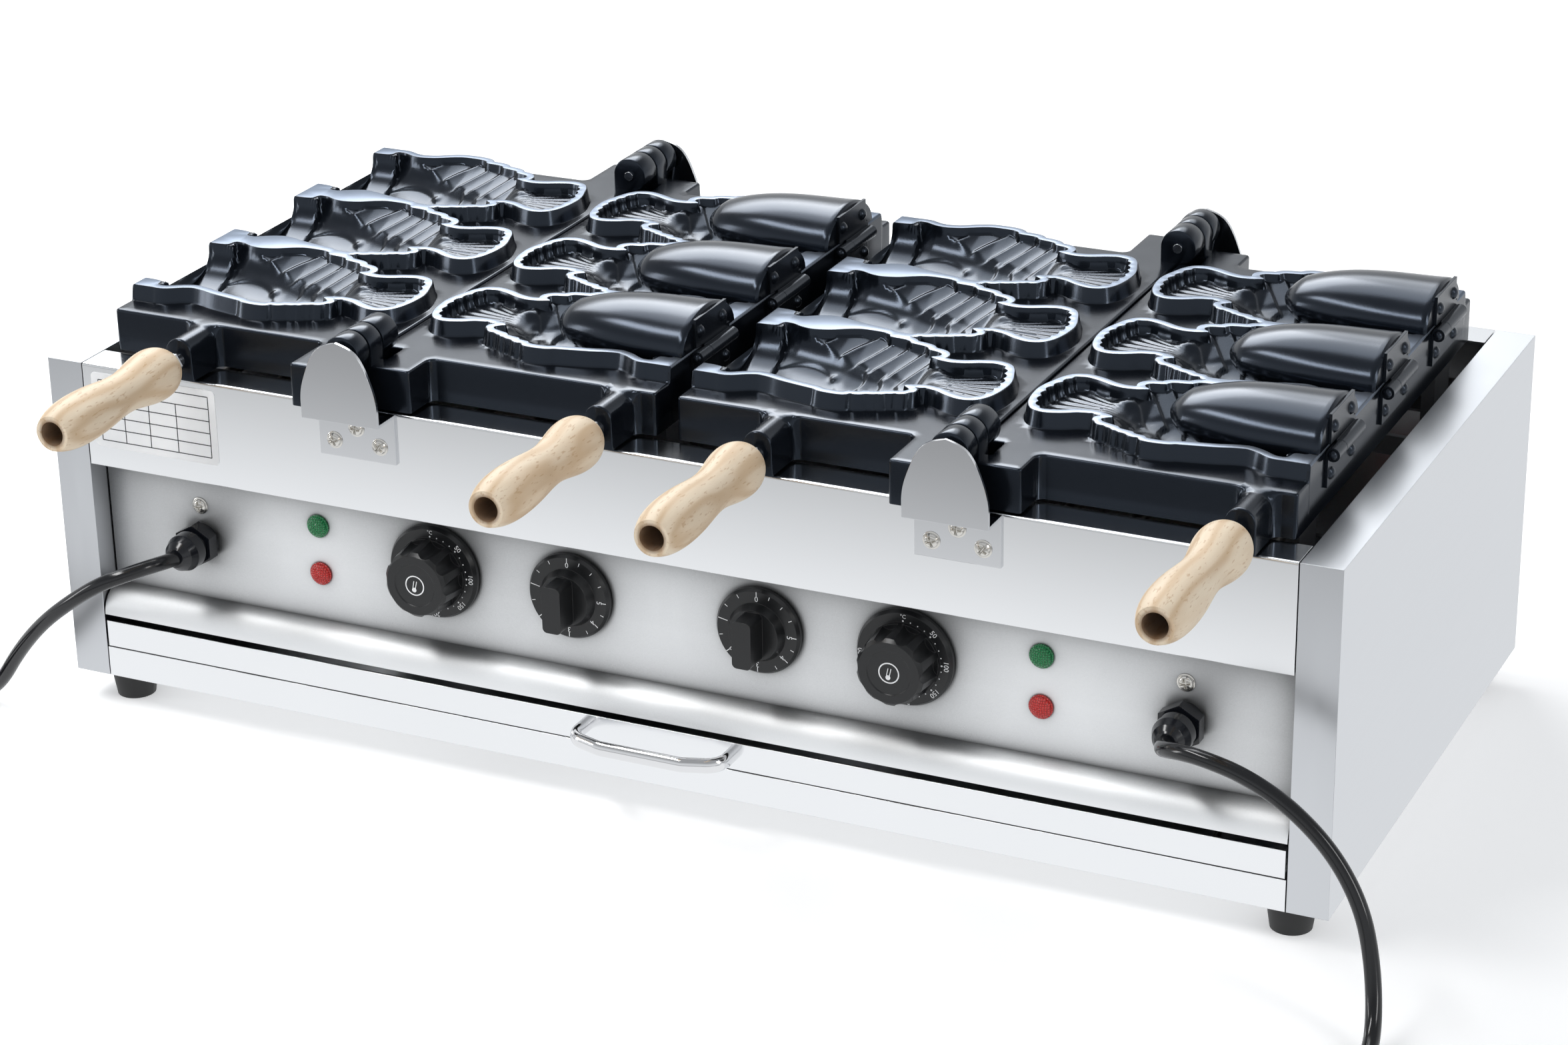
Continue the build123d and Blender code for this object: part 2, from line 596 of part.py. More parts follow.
def fixed_leaves(unit):
    """Lower leaves on one plate's outer wall, with their rivets and the barrels' pins."""
    solids = []
    for fish in range(FISH_COUNT):
        middle = FIRST_FISH + fish * FISH_PITCH
        with BuildPart() as plate:
            leaf(unit, fish, False)
        with BuildPart() as rivets:
            leaf_rivets(unit, fish, False)
        with BuildPart() as pin:
            ends = (middle - LEAF_HALF_WIDTH, middle + LEAF_HALF_WIDTH)
            rod_y(unit + BARREL_U, BARREL_HEIGHT, ends[0] - 0.3, ends[1] + 0.3, BARREL_PIN_RADIUS)
            dome(unit + BARREL_U, ends[0] - 0.3, BARREL_HEIGHT, (0, -1, 0), 2.8, 2.0)
            dome(unit + BARREL_U, ends[1] + 0.3, BARREL_HEIGHT, (0, 1, 0), 2.8, 2.0)
        solids += [*plate.solids(), *rivets.solids(), *pin.solids()]
    return Compound(solids)


# ---------------------------------------------------------------- controls

def turned(x, z, profile):
    """A round piece about a line along -Y that starts at the control panel's face.

    The profile is a list of (distance out from the panel, radius)."""
    plane = Plane(origin=(x, PANEL_Y, z), x_dir=(0, -1, 0), z_dir=(1, 0, 0))
    with BuildSketch(plane) as half:
        with BuildLine():
            Polyline((profile[0][0], 0), *profile, (profile[-1][0], 0), close=True)
        make_face()
    revolve(half.sketch, axis=Axis((x, PANEL_Y, z), (0, -1, 0)))


def thermostat_knob(side):
    """Skirt with a scalloped cap, on its spindle."""
    x = side * THERMOSTAT_X
    with BuildPart() as knob:
        turned(x, KNOB_HEIGHT, [(1.0, 29.5), (3.5, 29.5), (6.0, 28.0), (6.0, 22.5), (24.5, 20.5),
                                (26.5, 18.5), (26.5, 13.5), (26.0, 13.0)])
        for step in range(10):
            angle = 2 * pi * step / 10
            rod_y(x + 25.0 * cos(angle), KNOB_HEIGHT + 25.0 * sin(angle), PANEL_Y - 28, PANEL_Y - 8, 6.0,
                  Mode.SUBTRACT)
        rod_y(x, KNOB_HEIGHT, PANEL_Y - 14, PANEL_Y, SPINDLE_RADIUS, Mode.SUBTRACT)
    with BuildPart() as spindle:
        rod_y(x, KNOB_HEIGHT, PANEL_Y - 13.9, PANEL_Y + 24, SPINDLE_RADIUS)
    return Compound([*knob.solids(), *spindle.solids()])


def timer_knob(side):
    """Disc with a raised hub and a bar grip, on its spindle."""
    x = side * TIMER_X
    with BuildPart() as knob:
        turned(x, KNOB_HEIGHT, [(1.0, 26.5), (3.5, 26.5), (5.5, 25.0), (5.5, 18.0), (11.0, 15.5)])
        with BuildSketch(Plane.XZ.offset(-(PANEL_Y - 9))) as bar:
            with Locations((x, KNOB_HEIGHT)):
                RectangleRounded(12.0, 29.0, 3.0)
        extrude(bar.sketch, amount=17.5)
        rod_y(x, KNOB_HEIGHT, PANEL_Y - 14, PANEL_Y, SPINDLE_RADIUS, Mode.SUBTRACT)
    with BuildPart() as spindle:
        rod_y(x, KNOB_HEIGHT, PANEL_Y - 13.9, PANEL_Y + 24, SPINDLE_RADIUS)
    return Compound([*knob.solids(), *spindle.solids()])


def control_bodies(centre, size):
    """Two switch bodies behind the panel, each with a bore for its knob's spindle."""
    with BuildPart() as bodies:
        for side in (-1, 1):
            x = side * centre
            back = PANEL_Y + SHEET
            block((x - size[0] / 2, x + size[0] / 2), (back, back + size[1]),
                  (KNOB_HEIGHT - size[2] / 2, KNOB_HEIGHT + size[2] / 2))
            rod_y(x, KNOB_HEIGHT, back - 1, PANEL_Y + 26, SPINDLE_RADIUS + 0.1, Mode.SUBTRACT)
    return bodies.part


def lamps(z):
    """Two pilot lamps at one height: a faceted lens with a flange and a neck through the panel."""
    with BuildPart() as lenses:
        for side in (-1, 1):
            turned(side * LAMP_X, z, [(-14.0, 5.0), (0.0, 5.0), (0.0, LAMP_RADIUS), (1.5, LAMP_RADIUS),
                                      (1.5, 6.3), (4.0, 6.0), (5.0, 4.5)])
    return lenses.part


def cable_gland(side):
    """Plastic gland: threaded neck and lock nut behind, hexagon and domed nut in front."""
    x = side * GLAND_X
    with BuildPart() as body:
        turned(x, GLAND_HEIGHT, [(-9.0, 8.0), (0.0, 8.0), (0.0, 11.5), (3.0, 11.5), (3.0, 9.0), (14.5, 9.0)])
        with BuildSketch(Plane.XZ.offset(-(PANEL_Y - 3))) as hexagon:
            with Locations((x, GLAND_HEIGHT)):
                RegularPolygon(12.0, 6, major_radius=False, rotation=30)
        extrude(hexagon.sketch, amount=8)
        with BuildSketch(Plane.XZ.offset(-(PANEL_Y + SHEET + 5))) as lock:
            with Locations((x, GLAND_HEIGHT)):
                RegularPolygon(12.0, 6, major_radius=False)
        extrude(lock.sketch, amount=5)
    with BuildPart() as nut:
        turned(x, GLAND_HEIGHT, [(14.5, 11.5), (22.0, 11.5), (27.0, 9.5), (30.0, 7.0), (GLAND_LENGTH, 6.0)])
    return Compound([*body.solids(), *nut.solids()])


# ---------------------------------------------------------------- tray and heaters

def tray_sheet(x, y, z):
    """One flat wall of the crumb tray."""
    with BuildPart() as sheet:
        block(x, y, z)
    return sheet.part


def crumb_tray():
    """Drawer that slides out towards the user: its full-width front and the flat walls spot-welded to it."""
    low, high = BASE + TRAY_FRONT_BOTTOM, BASE + TRAY_FRONT_TOP
    near, far = FRONT + SHEET, FRONT + TRAY_DEPTH
    floor = (low + TRAY_FLOOR, low + TRAY_FLOOR + SHEET)
    wall = (floor[1], high - 1.5)
    half = TRAY_HALF_WIDTH
    with BuildPart() as front:
        block((-INNER_X + 1.5, INNER_X - 1.5), (FRONT, near), (low, high))
        panel_holes([(-TRAY_HANDLE_HALF, low + 8.5), (TRAY_HANDLE_HALF, low + 8.5)], 2.1,
                    FRONT - 1, near + 1)
    return {
        "tray_front": front.part,
        "tray_floor": tray_sheet((-half, half), (near, far), floor),
        "tray_left_wall": tray_sheet((-half, SHEET - half), (near, far), wall),
        "tray_right_wall": tray_sheet((half - SHEET, half), (near, far), wall),
        "tray_back_wall": tray_sheet((SHEET - half, half - SHEET), (far - SHEET, far), wall),
    }


def tray_handle():
    """Chromed bow handle and the two screws behind it."""
    z = BASE + TRAY_FRONT_BOTTOM + 8.5
    half = TRAY_HANDLE_HALF
    with BuildPart() as bow:
        with BuildLine(Plane.XY.offset(z)) as route:
            FilletPolyline((-half, FRONT), (-half, FRONT - 15), (-0.55 * half, FRONT - 22),
                           (0.55 * half, FRONT - 22), (half, FRONT - 15), (half, FRONT), radius=12)
        with BuildSketch(Plane(origin=route.line @ 0, x_dir=(1, 0, 0), z_dir=(0, -1, 0))):
            Ellipse(3.6, 4.6)
        sweep(path=route.line)
        for x in (-half, half):
            rod_y(x, z, FRONT - 9, FRONT + 1, 1.6, Mode.SUBTRACT)
    with BuildPart() as screws:
        for x in (-half, half):
            rod_y(x, z, FRONT - 8.5, FRONT + SHEET, 1.5)
            dome(x, FRONT + SHEET, z, (0, 1, 0), 3.2, 2.0)
    return Compound([*bow.solids(), *screws.solids()])


def tray_runners():
    """Two angle rails that the tray slides on."""
    with BuildPart() as rails:
        for side in (-1, 1):
            edge = side * (TRAY_HALF_WIDTH + 1.2)
            top = BASE + TRAY_FRONT_BOTTOM + TRAY_FLOOR - 0.3
            block(sorted((edge, edge + side * SHEET)), (FRONT + 12, BACK - 8),
                  (BASE + SHEET, BASE + TRAY_FRONT_TOP - 4))
            block(sorted((edge, edge - side * 14)), (FRONT + 12, BACK - 8), (top - SHEET, top))
    return rails.part


def heater_shelf():
    """Frame across the cabinet: two open bays, ribs under the heaters, rests under the moulds' edges."""
    edge = HALF_WIDTH - SHEET - 0.5
    with BuildPart() as shelf:
        block((-edge, edge), (FRONT + 22, BACK - SHEET - 0.5), (SHELF_HEIGHT, SHELF_HEIGHT + SHEET))
        for unit in UNITS.values():
            block((unit - 165, unit + 165), (FRONT + 48, BACK - 30),
                  (SHELF_HEIGHT - 1, SHELF_HEIGHT + SHEET + 1), Mode.SUBTRACT)
            for y in (FRONT + 120, BACK - 102):
                block((unit - 170, unit + 170), (y - 2, y + 2), (SHELF_HEIGHT, SHELF_HEIGHT + HEATER_RIB))
            for x in (unit - REST_REACH, unit + REST_REACH):
                for y in (FRONT + 62, BACK - 62):
                    block((x - 4, x + 4), (y - 15, y + 15), (SHELF_HEIGHT, PLATE_BOTTOM - 0.3))
        for x in (-edge, edge - SHEET):
            block((x, x + SHEET), (FRONT + 22, BACK - SHEET - 0.5), (SHELF_HEIGHT, SHELF_HEIGHT + 16))
    return shelf.part


def heating_elements():
    """Two bent tubular heaters under each pair of moulds, ends towards the back."""
    z = SHELF_HEIGHT + HEATER_RIB + HEATER_RADIUS
    with BuildPart() as heaters:
        for unit in UNITS.values():
            for side in (-1, 1):
                near, far = unit + side * 30, unit + side * 150
                bends = (near, near + side * 40, near + side * 80, far)
                with BuildLine(Plane.XY.offset(z)) as route:
                    FilletPolyline((bends[0], BACK - 36), (bends[0], FRONT + 70), (bends[1], FRONT + 70),
                                   (bends[1], BACK - 60), (bends[2], BACK - 60), (bends[2], FRONT + 70),
                                   (bends[3], FRONT + 70), (bends[3], BACK - 36), radius=16)
                with BuildSketch(Plane(origin=route.line @ 0, z_dir=(0, -1, 0))) as tube:
                    Circle(HEATER_RADIUS)
                sweep(tube.sketch, path=route.line)
    return heaters.part


# ---------------------------------------------------------------- mains leads

LEAD_START = PANEL_Y - GLAND_LENGTH
LYING = CORD_RADIUS + 0.1
ROUTES = {
    "left": [
        (-GLAND_X, LEAD_START, GLAND_HEIGHT), (-318, FRONT - 25, BASE + 97.5),
        (-322.5, FRONT - 36.5, BASE + 98), (-330.5, FRONT - 46.5, BASE + 96),
        (-343, FRONT - 54, BASE + 91.5), (-361, FRONT - 57, BASE + 80), (-389, FRONT - 54, BASE + 58),
        (-416, FRONT - 46, BASE + 30), (-439, FRONT - 38, BASE), (-462, FRONT - 29, LYING),
        (-498, FRONT - 22, LYING), (-534.5, FRONT - 20.5, LYING),
    ],
    "right": [
        (GLAND_X, LEAD_START, GLAND_HEIGHT), (318.5, FRONT - 26, BASE + 99.5),
        (324, FRONT - 37.5, BASE + 104.5), (334.5, FRONT - 45.5, BASE + 109),
        (350, FRONT - 50.5, BASE + 110.5), (374, FRONT - 51.5, BASE + 105.5),
        (401, FRONT - 53, BASE + 92.5), (426, FRONT - 57, BASE + 72.5), (443.5, FRONT - 62.5, BASE + 48),
        (452.5, FRONT - 69.5, BASE + 22), (459, FRONT - 83, BASE - 4), (463, FRONT - 104, LYING),
        (456.5, FRONT - 138, LYING), (455.5, FRONT - 172, LYING),
    ],
}
COIL_CENTRES = {"left": (-534.5, FRONT - 75.0), "right": (510.0, FRONT - 172.0)}


def bend_radii(points):
    """Radius of each bend: 0.45 of the shorter run over the tangent of half the turn."""
    radii = []
    for before, here, after in zip(points, points[1:], points[2:]):
        run_in = Vector(*here) - Vector(*before)
        run_out = Vector(*after) - Vector(*here)
        half_turn = run_in.get_angle(run_out) / 2 * pi / 180
        radii.append(0.45 * min(run_in.length, run_out.length) / tan(half_turn))
    return radii


def lead_tail(name):
    """Where the lead leaves its coil for the plug, heading towards the front."""
    x, y = COIL_CENTRES[name]
    return x - COIL_RADIUS - CORD_RADIUS, y


def power_cord(name):
    """Uncoiled stretches of one mains lead: from its gland to its coil, and from there to its plug."""
    points = ROUTES[name]
    radii = bend_radii(points)
    with BuildPart() as cord:
        with BuildLine() as route:
            FilletPolyline(*points, radius=tuple(radii))
        path = route.wire()
        with BuildSketch(Plane(origin=path @ 0, z_dir=path % 0)) as section:
            Circle(CORD_RADIUS)
        sweep(section.sketch, path=path)
    print(name, "cord length", round(path.length, 1), "radii", [round(r, 1) for r in radii],
          "volume ratio", round(cord.part.volume / (path.length * pi * CORD_RADIUS**2), 4))
    x, y = lead_tail(name)
    with BuildPart() as tail:
        rod_y(x, PLUG_RADIUS, y - TAIL_LENGTH, y, CORD_RADIUS)
    return Compound([*cord.solids(), *tail.solids()])


def cord_coil(name):
    """Closed ring of the coiled length of one mains lead, flat on the tabletop."""
    x, y = COIL_CENTRES[name]
    height = 2 * CORD_RADIUS * COIL_LAYERS
    with BuildPart() as coil:
        with BuildSketch(Plane.XZ.offset(-y)) as section:
            with Locations((x + COIL_RADIUS, height / 2)):
                RectangleRounded(2 * CORD_RADIUS * COIL_TURNS, height, CORD_RADIUS * 0.9)
        revolve(section.sketch, axis=Axis((x, y, 0), (0, 0, 1)))
    return coil.part


def plug(name):
    """Round two-pin mains plug lying beside its coil."""
    x, y = lead_tail(name)
    start = y - TAIL_LENGTH
    nose = start - 22
    face = nose - 20
    with BuildPart() as body:
        with BuildSketch(Plane.XZ.offset(-start)) as narrow:
            with Locations((x, PLUG_RADIUS)):
                Circle(6.5)
        with BuildSketch(Plane.XZ.offset(-nose)) as wide:
            with Locations((x, PLUG_RADIUS)):
                Circle(PLUG_RADIUS - 2)
        loft([narrow.sketch, wide.sketch])
        rod_y(x, PLUG_RADIUS, face, nose, PLUG_RADIUS)
        for dx in (-9.5, 9.5):
            rod_y(x + dx, PLUG_RADIUS, face - 19, face, 2.4)
    return body.part


os.makedirs("parts", exist_ok=True)

save(side_panel(-1), "side_panel_left")
save(side_panel(1), "side_panel_right")
save(front_panel(), "front_panel")
save(control_panel(), "control_panel")
save(base_pan(), "base_pan")
save(rear_panel(), "rear_panel")
save(feet(), "feet")
save(bracket_screws(), "bracket_screws")
save(earth_screws(), "earth_screws")
for name, sheet in crumb_tray().items():
    save(sheet, name)
save(tray_handle(), "tray_handle")
save(tray_runners(), "tray_runners")
save(heater_shelf(), "heater_shelf")
save(heating_elements(), "heating_elements")
save(control_bodies(THERMOSTAT_X, (44, 30, 44)), "thermostats")
save(control_bodies(TIMER_X, (50, 46, 40)), "timers")
save(lamps(GREEN_LAMP_HEIGHT), "green_lamps")
save(lamps(RED_LAMP_HEIGHT), "red_lamps")

for unit_name, unit_x in UNITS.items():
    for end in ("front", "rear"):
        save(hinge_bracket(unit_x, end), f"{unit_name}_unit_{end}_bracket")
    for plate_name in ("left", "right"):
        save(mould_plate(unit_x, plate_name), f"{unit_name}_unit_{plate_name}_mould")
        save(handle_rod(unit_x, plate_name), f"{unit_name}_unit_{plate_name}_handle_rod")
        save(grip(unit_x, plate_name), f"{unit_name}_unit_{plate_name}_grip")
    for fish, place in enumerate(("front", "middle", "rear")):
        save(horn(unit_x, fish), f"{unit_name}_unit_{place}_horn")
        save(horn_leaf(unit_x, fish), f"{unit_name}_unit_{place}_horn_leaf")
    save(fixed_leaves(unit_x), f"{unit_name}_unit_fixed_leaves")

for name, side in (("left", -1), ("right", 1)):
    save(thermostat_knob(side), f"{name}_thermostat_knob")
    save(timer_knob(side), f"{name}_timer_knob")
    save(cable_gland(side), f"{name}_cable_gland")
    save(power_cord(name), f"{name}_power_cord")
    save(cord_coil(name), f"{name}_cord_coil")
    save(plug(name), f"{name}_plug")
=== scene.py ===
"""Looks of the twin fish-cake maker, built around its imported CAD.

Sizes are millimetres in the CAD's own frame, and are turned into metres where a mesh is made.
A mould plate is described in (u, y): u runs outwards from its pin line, y runs to the back.
Inside one fish v is measured to the back from the fish's middle line.
"""

from math import cos, pi, radians, sin, sqrt

import bpy
import numpy as np
from mathutils import Matrix, Vector
from mathutils.geometry import delaunay_2d_cdt


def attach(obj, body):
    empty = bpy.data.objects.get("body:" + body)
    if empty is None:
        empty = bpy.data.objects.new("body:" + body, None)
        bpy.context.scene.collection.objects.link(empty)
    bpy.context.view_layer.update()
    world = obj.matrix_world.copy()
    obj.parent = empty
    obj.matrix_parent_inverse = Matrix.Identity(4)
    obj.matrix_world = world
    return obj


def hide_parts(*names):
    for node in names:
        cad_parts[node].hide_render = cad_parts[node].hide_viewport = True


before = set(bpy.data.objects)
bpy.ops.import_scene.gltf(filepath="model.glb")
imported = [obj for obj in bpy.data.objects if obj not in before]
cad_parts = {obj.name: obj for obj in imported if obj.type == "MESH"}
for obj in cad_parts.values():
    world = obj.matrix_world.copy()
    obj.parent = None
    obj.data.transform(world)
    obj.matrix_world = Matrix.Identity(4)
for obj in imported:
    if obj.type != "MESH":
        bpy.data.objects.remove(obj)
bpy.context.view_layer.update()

MM = 0.001

# Cabinet, as in the CAD
FRONT, BACK, BASE = -134.5, 247.5, 20.0
PANEL_Y = FRONT + 16.5
UNITS = {"left": -190.0, "right": 190.0}
SIDES = {"left": -1, "right": 1}
PLACES = ("front", "middle", "rear")

# Moulds
FIRST_FISH, FISH_PITCH = FRONT + 94.0, 100.0
PLATE_FRONT, PLATE_BACK = FRONT + 25.0, BACK - 25.0
PLATE_INNER, PLATE_OUTER = 0.8, 183.25
PLATE_BOTTOM, FLANGE_TOP, RIM_TOP = BASE + 209.5, BASE + 235.5, BASE + 245.0
PIN_HEIGHT = BASE + 245.25
RIM_WIDTH = 5.8
WALL_RUN = 1.3
FOOT_FILLET = 1.6
END_WALL = 180.0
BLOCK_START, BLOCK_HALF = 166.5, 49.0
BRIDGE_START, BRIDGE_HALF = 104.0, 12.0
LUG_HALF_WIDTH = 36.0
LUG_FRONT = {"left": -14.0, "right": 0.4}
KNUCKLES = {"left": [(-14.0, -0.4), (15.2, 32.8)], "right": [(0.6, 14.4)]}
KNUCKLE_RADIUS = 11.5
NOTCH_WIDTH = 12.8
KNUCKLE_GAP = 0.4
HANDLE_U = {"left": 119.3, "right": 161.0}
HANDLE_HEIGHT = BASE + 222.0
ARM_HALF_WIDTH, ARM_TOP, ARM_END, ARM_ROUND = 9.0, BASE + 235.0, FRONT - 4.0, 1.0
CORNER_FILLET, CORNER_ROUND = 5.0, 2.2
EDGE_ROUND = 1.5
BROW, LIP = 0.7, 0.6

# Horns: (u, half-width, half-height) of each section behind the nose
HORN_BODY = np.array([(98.0, 20.0, 12.0), (115.0, 27.0, 17.0), (140.0, 31.0, 20.0), (165.0, 34.0, 20.7),
                      (183.5, 35.0, 21.0)])
HORN_NOSE, HORN_SHOULDER, HORN_LOWER_END, HORN_FACE = 87.5, 98.0, 178.8, 183.5
HORN_LAP = RIM_TOP + 0.4

# Controls
KNOB_HEIGHT = BASE + 105.0
THERMOSTAT_X, TIMER_X, LAMP_X, GLAND_X = 152.0, 61.0, 233.0, 317.0
LAMP_HEIGHTS = {"green": BASE + 119.5, "red": BASE + 88.5}
LAMP_RADIUS = 7.2

# Mains leads: the CAD's routes, then a coil of 2 turns by 2 layers and a short tail to the plug
CORD_RADIUS = 4.5
LYING = CORD_RADIUS + 0.1
LEAD_START, GLAND_HEIGHT = PANEL_Y - 31.0, BASE + 96.0
COIL_RADIUS = 50.0
TAIL_LENGTH = 40.0
PLUG_RADIUS = 18.0
COIL_CENTRES = {"left": (-534.5, FRONT - 75.0), "right": (510.0, FRONT - 172.0)}
ROUTES = {
    "left": [
        (-GLAND_X, LEAD_START, GLAND_HEIGHT), (-318, FRONT - 25, BASE + 97.5),
        (-322.5, FRONT - 36.5, BASE + 98), (-330.5, FRONT - 46.5, BASE + 96),
        (-343, FRONT - 54, BASE + 91.5), (-361, FRONT - 57, BASE + 80), (-389, FRONT - 54, BASE + 58),
        (-416, FRONT - 46, BASE + 30), (-439, FRONT - 38, BASE), (-462, FRONT - 29, LYING),
        (-498, FRONT - 22, LYING), (-534.5, FRONT - 20.5, LYING),
    ],
    "right": [
        (GLAND_X, LEAD_START, GLAND_HEIGHT), (318.5, FRONT - 26, BASE + 99.5),
        (324, FRONT - 37.5, BASE + 104.5), (334.5, FRONT - 45.5, BASE + 109),
        (350, FRONT - 50.5, BASE + 110.5), (374, FRONT - 51.5, BASE + 105.5),
        (401, FRONT - 53, BASE + 92.5), (426, FRONT - 57, BASE + 72.5), (443.5, FRONT - 62.5, BASE + 48),
        (452.5, FRONT - 69.5, BASE + 22), (459, FRONT - 83, BASE - 4), (463, FRONT - 104, LYING),
        (456.5, FRONT - 138, LYING), (455.5, FRONT - 172, LYING),
    ],
}


# ---------------------------------------------------------------- materials

BLACK, WHITE = (0, 0, 0), (1, 1, 1)
MIX_FACTOR, MIX_A, MIX_B, MIX_RESULT = 0, 6, 7, 2  # a Mix node's sockets for colours


class Graph:
    """The node tree of a material or a world, written one line per node."""

    def __init__(self, owner, clear=False):
        owner.use_nodes = True
        self.tree = owner.node_tree
        if clear:
            self.tree.nodes.clear()

    def feed(self, value, target):
        if isinstance(value, bpy.types.NodeSocket):
            self.tree.links.new(value, target)
        else:
            target.default_value = value

    def make(self, kind, output=None, inputs=(), **settings):
        """A new node, fed with values or sockets. Gives the named output, or the node if none is named."""
        made = self.tree.nodes.new("ShaderNode" + kind)
        for key, value in settings.items():
            setattr(made, key, value)
        for key, value in dict(inputs).items():
            self.feed(value, made.inputs[key])
        return made if output is None else made.outputs[output]

    def math(self, operation, a, b):
        return self.make("Math", "Value", {0: a, 1: b}, operation=operation)

    def remap(self, value, low, high, new_low, new_high):
        """Maps low..high onto new_low..new_high and holds the ends."""
        return self.make("MapRange", "Result", {"Value": value, "From Min": low, "From Max": high,
                                                "To Min": new_low, "To Max": new_high})

    def span(self, value, low, high):
        """Maps 0..1 onto low..high."""
        return self.remap(value, 0.0, 1.0, low, high)

    def ramp(self, value, stops):
        made = self.make("ValToRGB", None, {"Fac": value})
        elements = made.color_ramp.elements
        while len(elements) < len(stops):
            elements.new(0.5)
        for element, (at, colour) in zip(elements, stops):
            element.position = at
            element.color = (*colour, 1.0)
        return made.outputs["Color"]

    def mix(self, factor, a, b):
        """Colour a where factor is 0, b where it is 1."""
        a, b = (c if isinstance(c, bpy.types.NodeSocket) else (*c, 1.0) for c in (a, b))
        return self.make("Mix", MIX_RESULT, {MIX_FACTOR: factor, MIX_A: a, MIX_B: b}, data_type="RGBA")

    def place(self, scale=(1, 1, 1)):
        """Object coordinates, which are metres in the model's frame, stretched by scale."""
        return self.make("Mapping", "Vector", {"Vector": self.make("TexCoord", "Object"), "Scale": scale})

    def noise(self, scale, vector=None, detail=4.0, rough=0.5):
        return self.make("TexNoise", "Fac", {"Scale": scale, "Detail": detail, "Roughness": rough,
                                             "Vector": self.place() if vector is None else vector})


class Finish(Graph):
    """A Principled material."""

    def __init__(self, name, **values):
        self.material = bpy.data.materials.new(name)
        super().__init__(self.material)
        self.set(**values)

    def set(self, **values):
        for key, value in values.items():
            self.feed(value, self.tree.nodes["Principled BSDF"].inputs[key.replace("_", " ")])

    def bump(self, height, strength, distance=0.0002, edge=0.0):
        """Bump on the surface; edge is the radius in metres that corners are eased by."""
        inputs = {"Height": height, "Strength": strength, "Distance": distance}
        if edge:
            inputs["Normal"] = self.make("Bevel", "Normal", {"Radius": edge}, samples=4)
        self.set(Normal=self.make("Bump", "Normal", inputs))


def tinted(colour, gain, lift=0.0):
    return tuple(min(1.0, c * gain + lift) for c in colour)


def metal(name, colour, rough, brush, edge=0.0, across="", corners=0.0):
    """Sheet or machined metal. brush stretches its grain, and low values run along that axis. across is the
    axis that the grain runs along, where its gloss is smeared across the grain; corners is how far in
    metres the painted shade in corners and under overhangs reaches."""
    n = Finish(name, Metallic=1.0)
    grain = n.noise(900.0, n.place(brush), 3.0, 0.6)
    cloud = n.noise(9.0, detail=3.0)
    base = n.mix(cloud, tinted(colour, 0.96), colour)
    # painted shade: ambient occlusion darkens the base colour in corners and under overhangs
    if corners:
        open_sky = n.make("AmbientOcclusion", "AO", {"Distance": corners}, samples=8)
        base = n.mix(n.ramp(open_sky, [(0.55, BLACK), (0.98, WHITE)]), tinted(colour, 0.25), base)
    n.set(Base_Color=base,
          Roughness=n.remap(n.math("ADD", grain, cloud), 0.6, 1.4, rough * 0.93, rough * 1.08))
    if across:
        n.set(Anisotropic=0.2, Tangent=n.make("Tangent", "Tangent", direction_type="RADIAL", axis=across))
    n.bump(grain, 0.01, 0.00006, edge)
    return n.material


def casting(name, colour, rough, metallic=0.0, edge=0.0, painted_light=""):
    """Non-stick coated aluminium casting: near black, glossy over a fine orange peel. Its attribute argument
    names an attribute that lifts the colour from a dark grey up to its own tone, as a painted highlight."""
    n = Finish(name, Specular_IOR_Level=0.5, Metallic=metallic, Specular_Tint=(0.66, 0.79, 1.0, 1.0))
    base = n.mix(n.noise(14.0), colour, tinted(colour, 1.35))
    # painted highlight: an attribute lifts the colour from dark grey towards its own tone by place
    if painted_light:
        base = n.mix(n.make("Attribute", "Fac", attribute_name=painted_light), (0.03, 0.034, 0.042), base)
    n.set(Base_Color=base, Roughness=n.span(n.noise(60.0, detail=5.0, rough=0.7), rough * 0.8, rough * 1.25))
    n.bump(n.noise(1100.0, detail=2.0), 0.07, 0.0003, edge)
    return n.material


def plastic(name, colour, rough, peel=0.03, edge=0.0005):
    """Moulded plastic, film or ink: faintly cloudy, with a fine peel."""
    n = Finish(name, Specular_IOR_Level=0.5)
    cloud = n.noise(40.0, detail=3.0)
    n.set(Base_Color=n.mix(cloud, colour, tinted(colour, 1.25, 0.002)),
          Roughness=n.span(cloud, rough * 0.85, rough * 1.15))
    n.bump(n.noise(700.0, detail=2.0), peel, edge=edge)
    return n.material


